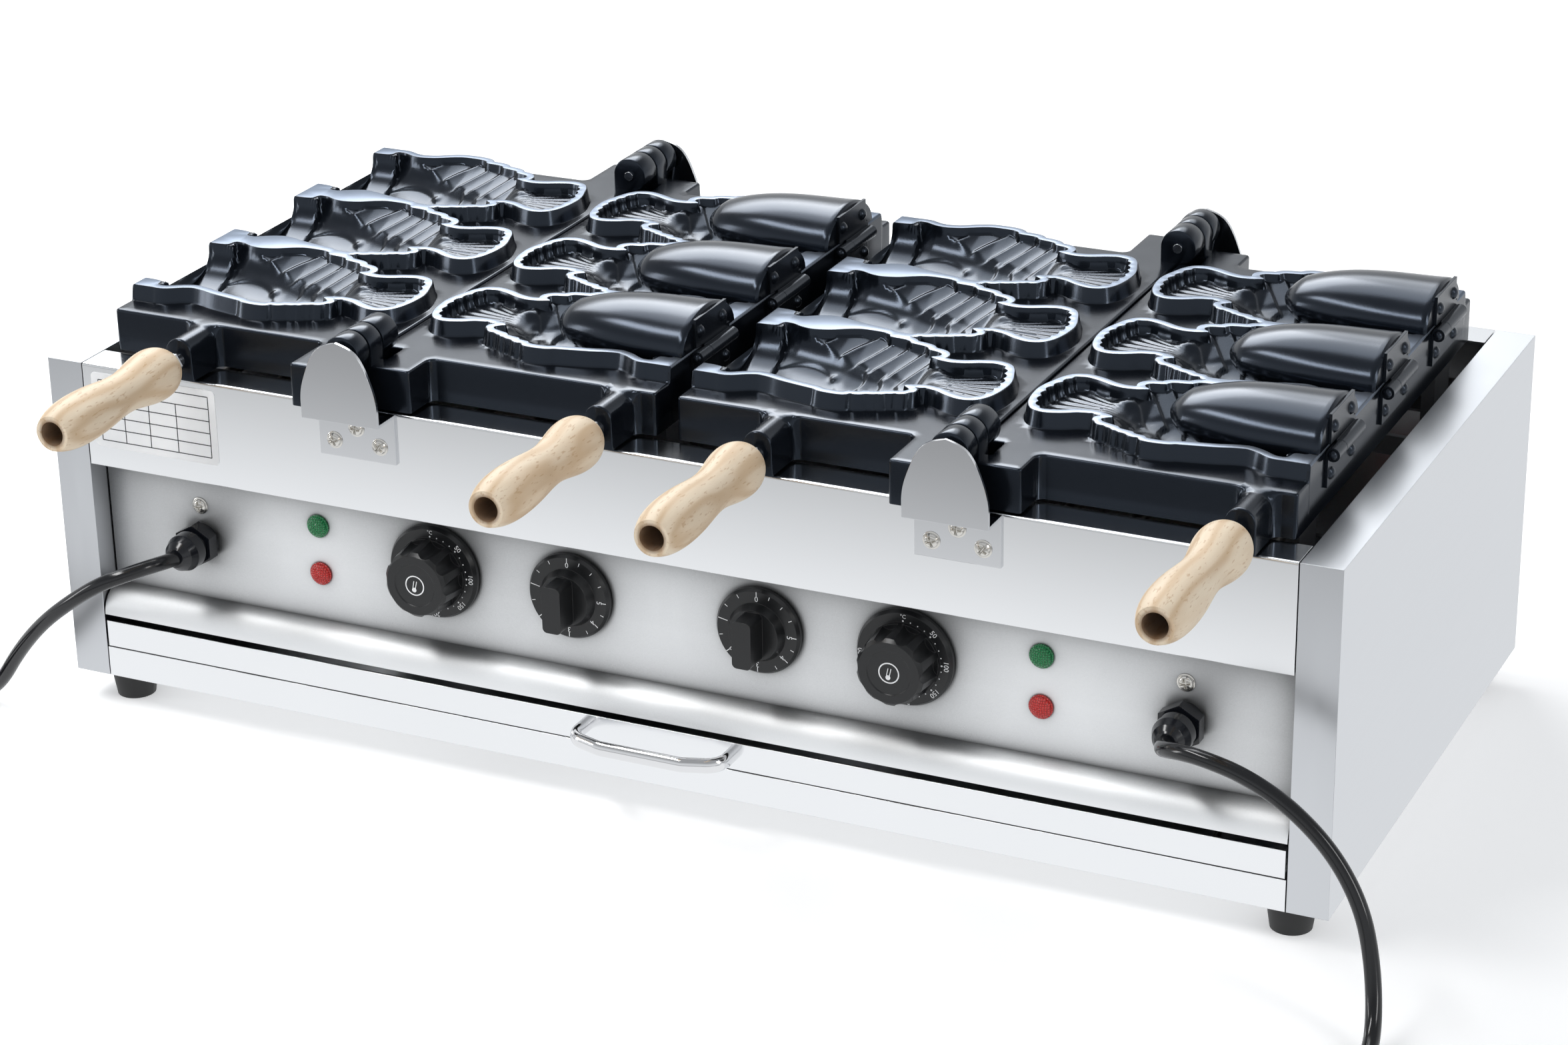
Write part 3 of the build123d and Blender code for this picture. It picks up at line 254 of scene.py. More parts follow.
def beech(name, axis_x):
    """Pale turned beech: long grain along Y, short dark flecks, painted shade in the bore, scorch round its
    free end.
    """
    n = Finish(name, Specular_IOR_Level=0.35)
    grain = n.noise(60.0, n.place((3.0, 0.35, 3.0)), 6.0, 0.6)
    ring = n.make("TexWave", "Fac", {"Vector": n.place((1.0, 0.12, 1.0)), "Scale": 34.0, "Distortion": 5.0,
                                     "Detail": 3.0, "Detail Scale": 1.5}, bands_direction="X")
    both = n.math("MULTIPLY", grain, ring)
    wood = n.ramp(both, [(0.0, (0.66, 0.49, 0.32)), (0.22, (0.78, 0.63, 0.46)), (0.6, (0.85, 0.72, 0.55))])
    fleck = n.ramp(n.noise(700.0, n.place((1.0, 0.2, 1.0)), 2.0), [(0.6, BLACK), (0.68, WHITE)])
    wood = n.mix(n.math("MULTIPLY", fleck, 0.5), wood, (0.50, 0.30, 0.15))
    where = n.make("SeparateXYZ", None, {"Vector": n.make("TexCoord", "Object")}).outputs
    offsets = [n.math("SUBTRACT", where[axis], centre * MM)
               for axis, centre in (("X", axis_x), ("Z", HANDLE_HEIGHT))]
    away = n.math("POWER", n.math("ADD", *(n.math("POWER", off, 2.0) for off in offsets)), 0.5)
    rim = n.remap(away, 0.0071, 0.0092, 1.0, 0.0)
    end = n.remap(where["Y"], (FRONT - 131.5) * MM, (FRONT - 128.0) * MM, 1.0, 0.0)
    # painted shade: the bore's walls are painted dark; the ring round the bore at the free end is scorch
    bore = n.remap(away, 0.0073, 0.0075, 1.0, 0.0)
    shade_and_scorch = n.math("MAXIMUM", n.math("MULTIPLY", rim, end), bore)
    n.set(Base_Color=n.mix(n.math("MULTIPLY", shade_and_scorch, 0.8), wood, (0.16, 0.075, 0.03)),
          Roughness=n.span(grain, 0.42, 0.6))
    n.bump(both, 0.12, 0.00015)
    return n.material


def lens(name, colour, glow):
    """Tinted clear plastic with a moulded crosshatch and a faint glow."""
    n = Finish(name, Transmission_Weight=0.35, IOR=1.49, Specular_IOR_Level=0.6,
               Emission_Color=(*colour, 1.0), Emission_Strength=glow)
    grid = n.math("MULTIPLY", *(n.make("TexWave", "Fac", {"Vector": n.place(), "Scale": 230.0},
                                       bands_direction=way) for way in "XZ"))
    n.set(Base_Color=n.mix(grid, tinted(colour, 0.35), tinted(colour, 1.3, 0.03)),
          Roughness=n.span(n.noise(300.0, detail=2.0), 0.08, 0.18))
    n.bump(grid, 0.5, 0.0005)
    return n.material


ALONG_X, ALONG_Y, NO_GRAIN = (0.03, 1.0, 1.0), (1.0, 0.03, 1.0), (1, 1, 1)
STAINLESS = metal("stainless_sheet", (0.90, 0.91, 0.925), 0.16, ALONG_X, 0.0006, across="X")
# the recessed control panel gets painted shade under the upper panel's overhang
RECESSED = metal("stainless_recess", (0.95, 0.96, 0.97), 0.5, ALONG_X, across="X", corners=0.05)
STAINLESS_SIDE = metal("stainless_side", (0.66, 0.675, 0.70), 0.3, ALONG_Y, 0.0006, across="Y")
INNER_STEEL = metal("inner_sheet", (0.42, 0.43, 0.45), 0.4, (1.0, 0.05, 1.0))
BRACKET_STEEL = metal("polished_bracket", (0.74, 0.75, 0.77), 0.15, (0.05, 1.0, 1.0), 0.0005, across="X")
SCREW_STEEL = metal("screw_steel", (0.70, 0.68, 0.64), 0.2, NO_GRAIN, 0.0002)
ROD_STEEL = metal("rod_steel", (0.62, 0.62, 0.63), 0.22, NO_GRAIN, 0.0004)
CHROME = metal("chrome_trim", (0.80, 0.80, 0.81), 0.1, NO_GRAIN)
HEATER = metal("heater_sheath", (0.22, 0.21, 0.20), 0.45, NO_GRAIN)
CASTING = casting("nonstick_casting", (0.0035, 0.0045, 0.0065), 0.19)
# the rim lands carry a painted highlight, set per point by an attribute
GROUND_RIM = casting("nonstick_rim_land", (0.34, 0.375, 0.43), 0.33, metallic=0.6, painted_light="rim_highlight")
LEAF_STEEL = casting("blackened_leaf", (0.006, 0.007, 0.009), 0.24, edge=0.0005)
KNOB = plastic("knob_plastic", (0.006, 0.0065, 0.0075), 0.3, 0.05)
GLAND = plastic("gland_plastic", (0.006, 0.007, 0.010), 0.15, 0.02)
JACKET = plastic("cord_jacket", (0.006, 0.0065, 0.008), 0.15, 0.02, 0.0)
PLUG = plastic("plug_plastic", (0.012, 0.012, 0.013), 0.35, 0.05)
SWITCH = plastic("switch_plastic", (0.62, 0.60, 0.55), 0.5)
RUBBER = plastic("foot_rubber", (0.012, 0.012, 0.012), 0.6, 0.12, 0.0008)
PRINT = plastic("white_print", (0.86, 0.87, 0.88), 0.5, 0.02, 0.0)
STICKER = plastic("label_film", (0.80, 0.81, 0.82), 0.4, 0.02, 0.0)
INK = plastic("label_rules", (0.02, 0.02, 0.022), 0.5, 0.02, 0.0)
LENSES = {"green": lens("green_lens", (0.01, 0.33, 0.10), 0.1),
          "red": lens("red_lens", (0.80, 0.035, 0.03), 0.12)}


# ---------------------------------------------------------------- pieces

def linked(name, data):
    thing = bpy.data.objects.new(name, data)
    bpy.context.scene.collection.objects.link(thing)
    return thing


def mesh_piece(name, points, faces, body, materials, slot, chosen=None, crease=50.0, node=None):
    """A mesh from millimetre points; chosen holds a material index for each face, an edge that turns by
    more than crease degrees stays sharp, and node is the CAD node that the piece stands for."""
    mesh = bpy.data.meshes.new(name)
    mesh.from_pydata([(x * MM, y * MM, z * MM) for x, y, z in points], [], [tuple(f) for f in faces])
    for material in materials:
        mesh.materials.append(material)
    if chosen is not None:
        mesh.polygons.foreach_set("material_index", np.asarray(chosen, dtype=np.int32))
    mesh.validate()
    mesh.shade_smooth()
    mesh.set_sharp_from_angle(angle=radians(crease))
    thing = linked(name, mesh)
    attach(thing, body)
    if node:
        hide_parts(node)
    return thing


def flip(faces):
    return [tuple(reversed(f)) for f in faces]


def circle(turns):
    return [2 * pi * k / turns for k in range(turns)]


def skinned(rings, turns, start=0):
    """Faces over a stack of rings of points numbered from start: a flat cap, the sides and a flat cap."""
    last = start + (rings - 1) * turns
    sides = []
    for low in range(start, last, turns):
        for k in range(turns):
            a, b = low + k, low + (k + 1) % turns
            sides.append((a, b, b + turns, a + turns))
    return [tuple(range(start, start + turns))[::-1], *sides, tuple(range(last, last + turns))]


def lathe(profile, place, turns=64):
    """Points and faces of a round piece about -Y through place; profile is (distance out, radius)."""
    x0, y0, z0 = place
    points = [(x0 + r * cos(a), y0 - out, z0 + r * sin(a)) for out, r in profile for a in circle(turns)]
    return points, skinned(len(profile), turns)


def joined(parts):
    """Points and faces of several (points, faces) pairs in one list."""
    points, faces = [], []
    for p, f in parts:
        faces += [tuple(i + len(points) for i in face) for face in f]
        points += list(p)
    return points, faces


# ---------------------------------------------------------------- camera, floor and light

CAMERA_PLACE = (925.309, -1897.473, 1033.888)
CAMERA_YAW, CAMERA_PITCH, CAMERA_ROLL = -0.4450, 0.4030, -0.0170
PHOTO_WIDTH, PHOTO_FOCAL, SENSOR = 2352, 5714.586, 36.0

ahead = Vector((sin(CAMERA_YAW) * cos(CAMERA_PITCH), cos(CAMERA_YAW) * cos(CAMERA_PITCH),
                -sin(CAMERA_PITCH)))
level = Vector((cos(CAMERA_YAW), -sin(CAMERA_YAW), 0.0))
upright = level.cross(ahead)
right = cos(CAMERA_ROLL) * level + sin(CAMERA_ROLL) * upright
above = -sin(CAMERA_ROLL) * level + cos(CAMERA_ROLL) * upright
lens_data = bpy.data.cameras.new("camera")
lens_data.sensor_width = SENSOR
lens_data.lens = PHOTO_FOCAL * SENSOR / PHOTO_WIDTH
lens_data.clip_end = 50.0
camera = linked("camera", lens_data)
turned = Matrix((right, above, -ahead)).transposed().to_4x4()
camera.matrix_world = Matrix.Translation(Vector(CAMERA_PLACE) * MM) @ turned
bpy.context.scene.camera = camera

bpy.context.scene.view_settings.view_transform = "Standard"


def softbox(name, place, aim, size, power):
    data = bpy.data.lights.new(name, "AREA")
    data.shape = "RECTANGLE"
    data.size, data.size_y = size
    data.energy = power
    lamp = linked(name, data)
    lamp.location = place
    lamp.rotation_euler = (Vector(aim) - Vector(place)).to_track_quat("-Z", "Y").to_euler()


softbox("behind_above", (-1.15, 1.35, 1.75), (0.0, 0.0, 0.2), (1.7, 0.85), 22.0)
softbox("overhead_strip", (-0.9, -0.75, 2.0), (0.0, 0.0, 0.2), (1.6, 0.3), 20.0)
softbox("far_left", (-2.6, -1.2, 0.75), (-0.2, 0.0, 0.2), (0.5, 1.2), 12.0)
softbox("right_side", (2.4, -0.6, 1.5), (0.2, 0.0, 0.15), (0.5, 1.4), 12.0)

# The world is white to the camera and soft light on the object; gloss sees a shaded sky and a high window
SKY = [(0.0, 0.8), (0.3, 0.8), (0.45, 0.6), (0.62, 0.4), (1.0, 0.4)]
WINDOW_WAY = (-0.36, 0.56, 0.745)

world = bpy.data.worlds.new("studio")
bpy.context.scene.world = world
studio = Graph(world, clear=True)
ways = studio.make("TexCoord", "Generated")
up = studio.make("SeparateXYZ", "Z", {"Vector": ways})
sky = studio.ramp(up, [(at, (shade * 0.95, shade * 0.975, shade)) for at, shade in SKY])
facing = studio.make("VectorMath", "Value", {0: ways, 1: WINDOW_WAY}, operation="DOT_PRODUCT")
window = studio.remap(facing, 0.88, 0.94, 1.0, 9.0)
lit, mirror, seen = (studio.make("Background", "Background", {"Color": colour, "Strength": strength})
                     for colour, strength in (((0.93, 0.96, 1.0, 1.0), 0.45), (sky, window),
                                              ((1.0, 1.0, 1.0, 1.0), 1.0)))
rays = studio.make("LightPath").outputs
unseen = studio.make("MixShader", "Shader", {0: rays["Is Glossy Ray"], 1: lit, 2: mirror})
studio.make("OutputWorld", None, {"Surface": studio.make("MixShader", "Shader",
                                                         {0: rays["Is Camera Ray"], 1: unseen, 2: seen})})

# The floor: pale paper that keeps the shadow, and in gloss a sheen that fades towards the user
REACH = 6.0
floor_mesh = bpy.data.meshes.new("floor")
floor_mesh.from_pydata([(-REACH, -REACH, 0), (REACH, -REACH, 0), (REACH, REACH, 0), (-REACH, REACH, 0)],
                       [], [(0, 1, 2, 3)])
floor = linked("floor", floor_mesh)
paper = bpy.data.materials.new("floor_paper")
sheet = Graph(paper, clear=True)
rays = sheet.make("LightPath").outputs
matt = sheet.make("BsdfDiffuse", "BSDF", {"Color": (0.93, 0.93, 0.93, 1.0)})
glow = sheet.make("Emission", "Emission", {"Strength": sheet.math("MULTIPLY", rays["Is Camera Ray"], 0.3)})
total = sheet.make("AddShader", "Shader", {0: matt, 1: glow})
depth_y = sheet.make("SeparateXYZ", "Y", {"Vector": sheet.make("TexCoord", "Object")})
sheen = sheet.make("Emission", "Emission", {"Color": (0.97, 0.985, 1.0, 1.0),
                                            "Strength": sheet.remap(depth_y, -0.78, -0.44, 0.38, 1.0)})
sheet.make("OutputMaterial", None, {"Surface": sheet.make("MixShader", "Shader", {
    0: rays["Is Glossy Ray"], 1: total, 2: sheen})})
floor_mesh.materials.append(paper)


# ---------------------------------------------------------------- mains leads

TURN_POINTS, TURNS = 16, 4
COIL_START, COIL_END = {"left": 90, "right": 180}, 180  # degrees anticlockwise from +X
OUTER_TURN, INNER_TURN = COIL_RADIUS + CORD_RADIUS, COIL_RADIUS - CORD_RADIUS
UPPER_LAYER = 3 * CORD_RADIUS + 0.1


def coil_points(name):
    """Control points of the coil and its tail: outer then inner turn below, inner then outer above."""
    cx, cy = COIL_CENTRES[name]
    count = TURN_POINTS * TURNS + round((COIL_END - COIL_START[name]) / 360 * TURN_POINTS)
    spread = 1 / cos(pi / TURN_POINTS) ** 0.5
    points = []
    for k in range(1, count + 1):
        turn = k / TURN_POINTS
        r = spread * np.interp(turn, (0.78, 1, 2.78, 3), (OUTER_TURN, INNER_TURN, INNER_TURN, OUTER_TURN))
        a = radians(COIL_START[name] + 360.0 * turn)
        points.append((cx + r * cos(a), cy + r * sin(a), np.interp(turn, (1.78, 2), (LYING, UPPER_LAYER))))
    x = cx - OUTER_TURN
    return points + [(x, cy - 14, 16.0), (x, cy - 28, PLUG_RADIUS), (x, cy - TAIL_LENGTH, PLUG_RADIUS)]


def spline_length(points):
    """Length of the open NURBS of order 3 through these control points."""
    length, last = 0.0, None
    p = [Vector(q) for q in points]
    knots = [0] * 3 + list(range(1, len(p) - 2)) + [len(p) - 2] * 3
    for i in range(2, len(p)):
        for step in range(13):
            t = knots[i] + (knots[i + 1] - knots[i]) * step / 12
            a = (t - knots[i - 1]) / (knots[i + 1] - knots[i - 1])
            b = (t - knots[i]) / (knots[i + 2] - knots[i]) if knots[i + 2] > knots[i] else 0.0
            c = (t - knots[i]) / (knots[i + 1] - knots[i])
            first = p[i - 2].lerp(p[i - 1], a)
            here = first.lerp(p[i - 1].lerp(p[i], b), c)
            if last is not None:
                length += (here - last).length
            last = here
    return length


PLUG_RIBS, RIB_PITCH = 4, 3.2
PLUG_BODY = [(-0.5, 4.7), (0.0, 6.2), (1.0, 6.5)]
for rib in range(PLUG_RIBS):
    PLUG_BODY += [(2.0 + rib * RIB_PITCH + out, radius + rib * 0.7)
                  for out, radius in ((0.0, 6.7), (0.6, 5.9), (1.9, 5.9), (2.5, 6.9))]
PLUG_BODY += [(17.0, 12.4), (21.0, 15.2), (24.0, 16.9), (27.0, 17.7), (31.0, 17.9), (35.0, 17.9),
              (38.0, 17.9), (40.5, 17.3), (41.7, 16.2), (42.0, 15.0)]
PLUG_PIN = [(41.0, 2.4), (51.0, 2.4), (58.0, 2.4), (60.0, 2.0), (61.0, 1.2)]
PIN_X = 9.5


def plug_piece(name):
    """Moulded round plug: ribbed collar, domed body, and two round pins."""
    cx, cy = COIL_CENTRES[name]
    x, y = cx - OUTER_TURN, cy - TAIL_LENGTH
    parts = [lathe(PLUG_BODY, (x, y, PLUG_RADIUS), 48)]
    parts += [lathe(PLUG_PIN, (x + dx, y, PLUG_RADIUS), 24) for dx in (-PIN_X, PIN_X)]
    points, faces = joined(parts)
    soft = len(parts[0][1])
    return mesh_piece(f"{name}_plug_moulding", points, faces, "cabinet", [PLUG, ROD_STEEL], "plug_plastic",
                      [0] * soft + [1] * (len(faces) - soft), node=f"{name}_plug")


for name in SIDES:
    route = ROUTES[name] + coil_points(name)
    curve = bpy.data.curves.new(f"{name}_lead", "CURVE")
    curve.dimensions = "3D"
    curve.bevel_depth = CORD_RADIUS * MM
    curve.bevel_resolution = 6
    curve.resolution_u = 10
    curve.use_fill_caps = True
    spline = curve.splines.new("NURBS")
    spline.points.add(len(route) - 1)
    for point, (x, y, z) in zip(spline.points, route):
        point.co = (x * MM, y * MM, z * MM, 1.0)
    spline.order_u = 3
    spline.use_endpoint_u = True
    curve.materials.append(JACKET)
    lead = linked(f"{name}_lead", curve)
    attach(lead, "cabinet")
    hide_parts(f"{name}_power_cord", f"{name}_cord_coil")
    length = spline_length(route) * MM
    plug_piece(name)
    print(name, "lead length", round(length, 3))


# ---------------------------------------------------------------- mould plates

# Edge of one fish-shaped hollow at the rim, from the mouth's front corner round the tail to its back corner
FISH_EDGE = [
    (169.5, -35.5), (168.6, -42.5), (166.5, -43.5), (162.0, -43.3), (154.0, -38.0), (146.0, -35.0),
    (137.0, -36.5), (128.0, -39.5), (113.0, -42.5), (105.0, -44.0), (102.5, -45.8), (95.0, -46.5),
    (89.8, -46.0), (88.6, -43.6), (81.8, -42.6), (80.4, -40.2), (76.0, -39.4), (71.8, -38.4), (70.2, -36.0),
    (64.5, -34.2), (59.5, -32.5), (57.5, -29.5), (59.5, -27.3), (63.0, -24.8), (61.0, -22.0),
    (52.5, -19.0), (47.0, -18.8), (40.0, -20.5), (32.5, -25.0), (25.0, -27.5), (19.5, -26.0),
    (16.0, -20.0), (14.0, -11.0), (13.3, 0.0), (14.6, 7.0), (17.0, 14.0), (19.0, 20.0), (22.0, 25.0),
    (28.0, 27.0), (36.0, 24.5), (44.0, 20.5), (52.0, 18.5), (60.0, 19.5), (66.8, 22.6), (66.0, 24.2),
    (62.8, 26.2), (62.4, 29.0), (64.5, 31.4), (72.4, 33.2), (74.2, 36.4), (76.8, 37.6), (86.0, 39.2),
    (88.2, 42.4), (91.0, 43.4), (101.4, 44.2), (103.2, 48.0), (108.0, 49.8), (121.0, 50.0), (128.0, 47.2),
    (138.0, 41.0), (148.0, 38.3), (156.0, 39.8), (162.0, 43.0), (167.0, 43.4), (168.6, 42.0), (169.5, 35.5),
]
TAIL_PIVOT, TAIL_RIBS = (78.0, -1.0), 25
FLUTES = (50.0, 55.0, 62.0, 71.0, 85.0)
FLUTE_WIDTH, FLUTE_DEPTH = 1.3, 0.7
MOUTH_HALF, OPEN_END = 35.5, 200.0

# The belly's and fins' shape along the fish, as (u, value)
BELLY_MIDDLE = [(40, 0), (70, -2), (100, -3), (125, -1), (158, 0)]
BELLY_HALF = [(46, 12), (60, 14), (72, 19), (85, 24), (100, 28.5), (115, 32), (140, 36.5), (155, 39.5),
              (164, 43)]
BELLY_DEPTH = [(40, 6.0), (56, 8.0), (70, 12.5), (85, 17.5), (100, 21.0), (120, 22.3), (150, 22.8),
               (166, 23.2)]
BACK_FIN = [(60, 24), (70, 32), (80, 38), (90, 43), (103, 47), (115, 50), (128, 47), (138, 41), (148, 38),
            (158, 40)]
FRONT_FIN = [(60, 32), (75, 39), (90, 46), (103, 45.5), (113, 42.5), (137, 36.5), (146, 35), (154, 38),
             (162, 43)]
FIN_START, FIN_END, FIN_FADE = 56.0, 162.0, 14.0
FIN_DEPTH, FIN_SLOPE, FIN_REACH = 3.6, 0.36, 26.0
RAY_SLANT = [(60, 0.8), (90, 0.72), (110, 0.8), (125, 0.55), (140, 0.45)]
RAY_PITCH, RAY_RISE, RAY_EDGE = 15.0, 1.15, 0.22
RAY_U, RAY_V = 79.0, 30.0
SCALE_ROWS, SCALE_COLUMNS, SCALE_START, SCALE_OFFSET = 5, range(-3, 4), 64.0, 2.0
SCALE_PITCH_U, SCALE_PITCH_V, SCALE_RADIUS, SCALE_LIFT, SCALE_EDGE = 12.4, 13.0, 9.6, 1.7, 1.7
GILL_PLACE, GILL_RADIUS, GILL_STEP, GILL_EDGE = (147.0, -3.0), 29.5, 0.7, 2.4
BUMPS = [(124.5, 16.0, 2.8, 1.0), (80.0, 17.5, 3.6, 0.9), (71.5, 14.0, 3.4, 0.9), (66.0, 6.0, 3.6, 0.7)]
BLEND = 2.5  # how softly the belly meets the fins
TAIL_START, TAIL_FADE, TAIL_DEPTH, TAIL_SLOPE, RIB_RISE = 60.0, 14.0, 6.6, 0.03, 0.7
COLLAR_DEPTH, COLLAR_HALF, COLLAR_START = 21.8, 35.8, 167.6
COLLAR_LIP, COLLAR_DROP = 179.4, 2.4
WALL_SLOPE, COLLAR_WALL_SLOPE, WALL_FOOT = 5.2, 13.2, 1.2

CHART_STEP = 0.25
CHART_U = np.arange(-4.0, 190.0, CHART_STEP)
CHART_V = np.arange(-79.0, 79.0, CHART_STEP)


def rounded(points, rounds=3):
    """Corner-cutting of a closed outline."""
    p = np.array(points, float)
    for _ in range(rounds):
        q = np.roll(p, -1, axis=0)
        p = np.stack([0.8 * p + 0.2 * q, 0.2 * p + 0.8 * q], 1).reshape(-1, 2)
    return p


def signed_distance(outline, x, y):
    """Distance to a closed outline, negative inside it."""
    best = np.full(x.shape, 1e9)
    inside = np.zeros(x.shape, bool)
    for (ax, ay), (bx, by) in zip(outline, np.roll(outline, -1, axis=0)):
        dx, dy = bx - ax, by - ay
        t = np.clip(((x - ax) * dx + (y - ay) * dy) / (dx * dx + dy * dy + 1e-12), 0, 1)
        best = np.minimum(best, (x - ax - t * dx) ** 2 + (y - ay - t * dy) ** 2)
        if dy:
            inside ^= ((ay > y) != (by > y)) & (x < dx * (y - ay) / dy + ax)
    return np.where(inside, -1.0, 1.0) * np.sqrt(best)


def smooth(t):
    t = np.clip(t, 0.0, 1.0)
    return t * t * (3.0 - 2.0 * t)


def table(x, pairs):
    """Straight-line interpolation through (x, value) pairs."""
    return np.interp(x, *zip(*pairs))


def sagged(drop, radius):
    """How far a fillet of this radius falls away at drop from where it starts."""
    return radius - np.sqrt(np.clip(radius ** 2 - drop ** 2, 0.0, None))


class Plate:
    """One mould plate's shape, as fields over (u, y)."""

    def __init__(self, hand):
        self.hand = hand
        mouth_end = OPEN_END if hand == "left" else END_WALL
        fish = rounded([(mouth_end, -MOUTH_HALF), *FISH_EDGE, (mouth_end, MOUTH_HALF)])
        self.chart = signed_distance(fish, *np.meshgrid(CHART_U, CHART_V))
        self.outline = self.plan()

    def plan(self):
        """The plate's outline seen from above, with rounded corners, notches for the other's knuckles and
        the handle's arm."""
        lug = FRONT + LUG_FRONT[self.hand]
        rear_lug = FRONT + BACK - lug
        half = LUG_HALF_WIDTH
        arm_left, arm_right = HANDLE_U[self.hand] - ARM_HALF_WIDTH, HANDLE_U[self.hand] + ARM_HALF_WIDTH
        corners = [
            (half, lug, CORNER_ROUND), (half, PLATE_FRONT, CORNER_FILLET),
            (arm_left, PLATE_FRONT, CORNER_FILLET), (arm_left, ARM_END, ARM_ROUND),
            (arm_right, ARM_END, ARM_ROUND), (arm_right, PLATE_FRONT, CORNER_FILLET),
            (PLATE_OUTER, PLATE_FRONT, CORNER_ROUND), (PLATE_OUTER, PLATE_BACK, CORNER_ROUND),
            (half, PLATE_BACK, CORNER_FILLET), (half, rear_lug, CORNER_ROUND),
        ]
        points = [(PLATE_INNER, lug)]
        raw = [Vector(c) for c in (points[0], *(c[:2] for c in corners), (PLATE_INNER, rear_lug))]
        for last, here, following, (_, _, size) in zip(raw, raw[1:], raw[2:], corners):
            before, after = (last - here).normalized(), (following - here).normalized()
            centre = here + (before + after) * size
            a, b = here + before * size, here + after * size
            for t in np.linspace(0.0, pi / 2, 7):
                points.append(tuple(centre + (a - centre) * cos(t) + (b - centre) * sin(t)))
        points.append((PLATE_INNER, rear_lug))
        notches = []
        for low, high in KNUCKLES["right" if self.hand == "left" else "left"]:
            for y0, y1 in ((FRONT + low, FRONT + high), (BACK - high, BACK - low)):
                notches.append((y0 - KNUCKLE_GAP, y1 + KNUCKLE_GAP))
        for y0, y1 in sorted(notches, reverse=True):
            if y0 > lug and y1 < rear_lug:
                points += [(PLATE_INNER, y1), (NOTCH_WIDTH, y1), (NOTCH_WIDTH, y0), (PLATE_INNER, y0)]
        return np.array(points)

    def charted(self, u, v):
        """Distance to one fish's edge, read from its chart."""
        a = np.clip((u - CHART_U[0]) / CHART_STEP, 0.0, len(CHART_U) - 1.001)
        b = np.clip((v - CHART_V[0]) / CHART_STEP, 0.0, len(CHART_V) - 1.001)
        i, j = a.astype(int), b.astype(int)
        a, b = a - i, b - j
        low, high = (self.chart[row, i] * (1 - a) + self.chart[row, i + 1] * a for row in (j, j + 1))
        return low * (1 - b) + high * b

    def fish_distance(self, u, y):
        d = np.full(u.shape, 1e9)
        for k in range(len(PLACES)):
            v = y - FIRST_FISH - k * FISH_PITCH
            near = np.abs(v) < 78
            d[near] = np.minimum(d[near], self.charted(u[near], v[near]))
        return d

    def local(self, y):
        """v inside the nearest fish."""
        k = np.clip(np.round((y - FIRST_FISH) / FISH_PITCH), 0, 2)
        return y - FIRST_FISH - k * FISH_PITCH

    def ribs(self, u, v):
        """Tail ribs, 0 in a groove and 1 on a crest, flaring from the narrow to the wavy end."""
        reach = np.hypot(u - TAIL_PIVOT[0], v - TAIL_PIVOT[1])
        angle = np.arctan2(v - TAIL_PIVOT[1], TAIL_PIVOT[0] - u) * (1 + 0.008 * (60.0 - reach))
        return 1.0 - np.abs(np.sin(angle * TAIL_RIBS))

    def scallop(self, u, v):
        """Wavy tail edge: the tail's grooves run out into it."""
        return (0.5 - self.ribs(u, v)) * 1.5 * smooth((26.0 - u) / 6.0)

    def inner(self, u, y):
        """Distance outwards from the hollows' edge."""
        return self.fish_distance(u, y) - self.scallop(u, self.local(y))

    def outer(self, u, y):
        """Distance outwards from the raised walls' outer edge."""
        flutes = sum(np.exp(-((u - f) / FLUTE_WIDTH) ** 2) for f in FLUTES) * (self.local(y) < 0)
        wall = self.fish_distance(u, y) - RIM_WIDTH + FLUTE_DEPTH * flutes
        first, last = FIRST_FISH - BLOCK_HALF, FIRST_FISH + 2 * FISH_PITCH + BLOCK_HALF
        block = np.maximum.reduce([BLOCK_START - u, first - y, y - last])
        between = np.abs(y - np.clip(np.round((y - FIRST_FISH) / FISH_PITCH - 0.5), 0, 1) * FISH_PITCH
                         - FIRST_FISH - FISH_PITCH / 2)
        bridge = np.maximum(BRIDGE_START - u, between - BRIDGE_HALF)
        return np.minimum.reduce([wall, block, bridge])

    def edge(self, u, y):
        """Distance inwards from the plate's outline."""
        return -signed_distance(self.outline, u, y)

    def scales(self, u, v):
        """How far the scales lie below the belly, each lapping over the next towards the tail."""
        scale = np.zeros_like(u)
        for i in range(SCALE_ROWS):
            cu = SCALE_START + SCALE_PITCH_U * i
            lift = SCALE_LIFT * smooth((cu + SCALE_RADIUS * 0.7 - u) / (1.8 * SCALE_RADIUS))
            for j in SCALE_COLUMNS:
                cv = SCALE_PITCH_V * (j + 0.5 * (i % 2)) + SCALE_OFFSET
                inside = smooth((SCALE_RADIUS - np.hypot(u - cu, (v - cv) * 0.95)) / SCALE_EDGE)
                scale = scale * (1 - inside) + lift * inside
        return scale * smooth((122.0 - u) / 10.0) * smooth((u - 58.0) / 8.0)

    def fins(self, u, v):
        """Depth of the fins: a sloping shelf under rays that slant back to the rim."""
        tip = np.where(v > 0, table(u, BACK_FIN), table(u, FRONT_FIN))
        fan = smooth((u - FIN_START) / FIN_FADE) * smooth((FIN_END - u) / FIN_FADE)
        part = (u + table(u, RAY_SLANT) * (np.abs(v) - RAY_V) - RAY_U) / RAY_PITCH
        part = part - np.floor(part)
        ray = np.where(part < RAY_EDGE, 1.0 - smooth(part / RAY_EDGE),
                       np.clip((part - RAY_EDGE) / (1 - RAY_EDGE), 0, 1) ** 2)
        slope = FIN_SLOPE * np.clip(tip - np.abs(v), 0.0, FIN_REACH)
        return FIN_DEPTH + fan * (slope + RAY_RISE * (0.5 - ray))

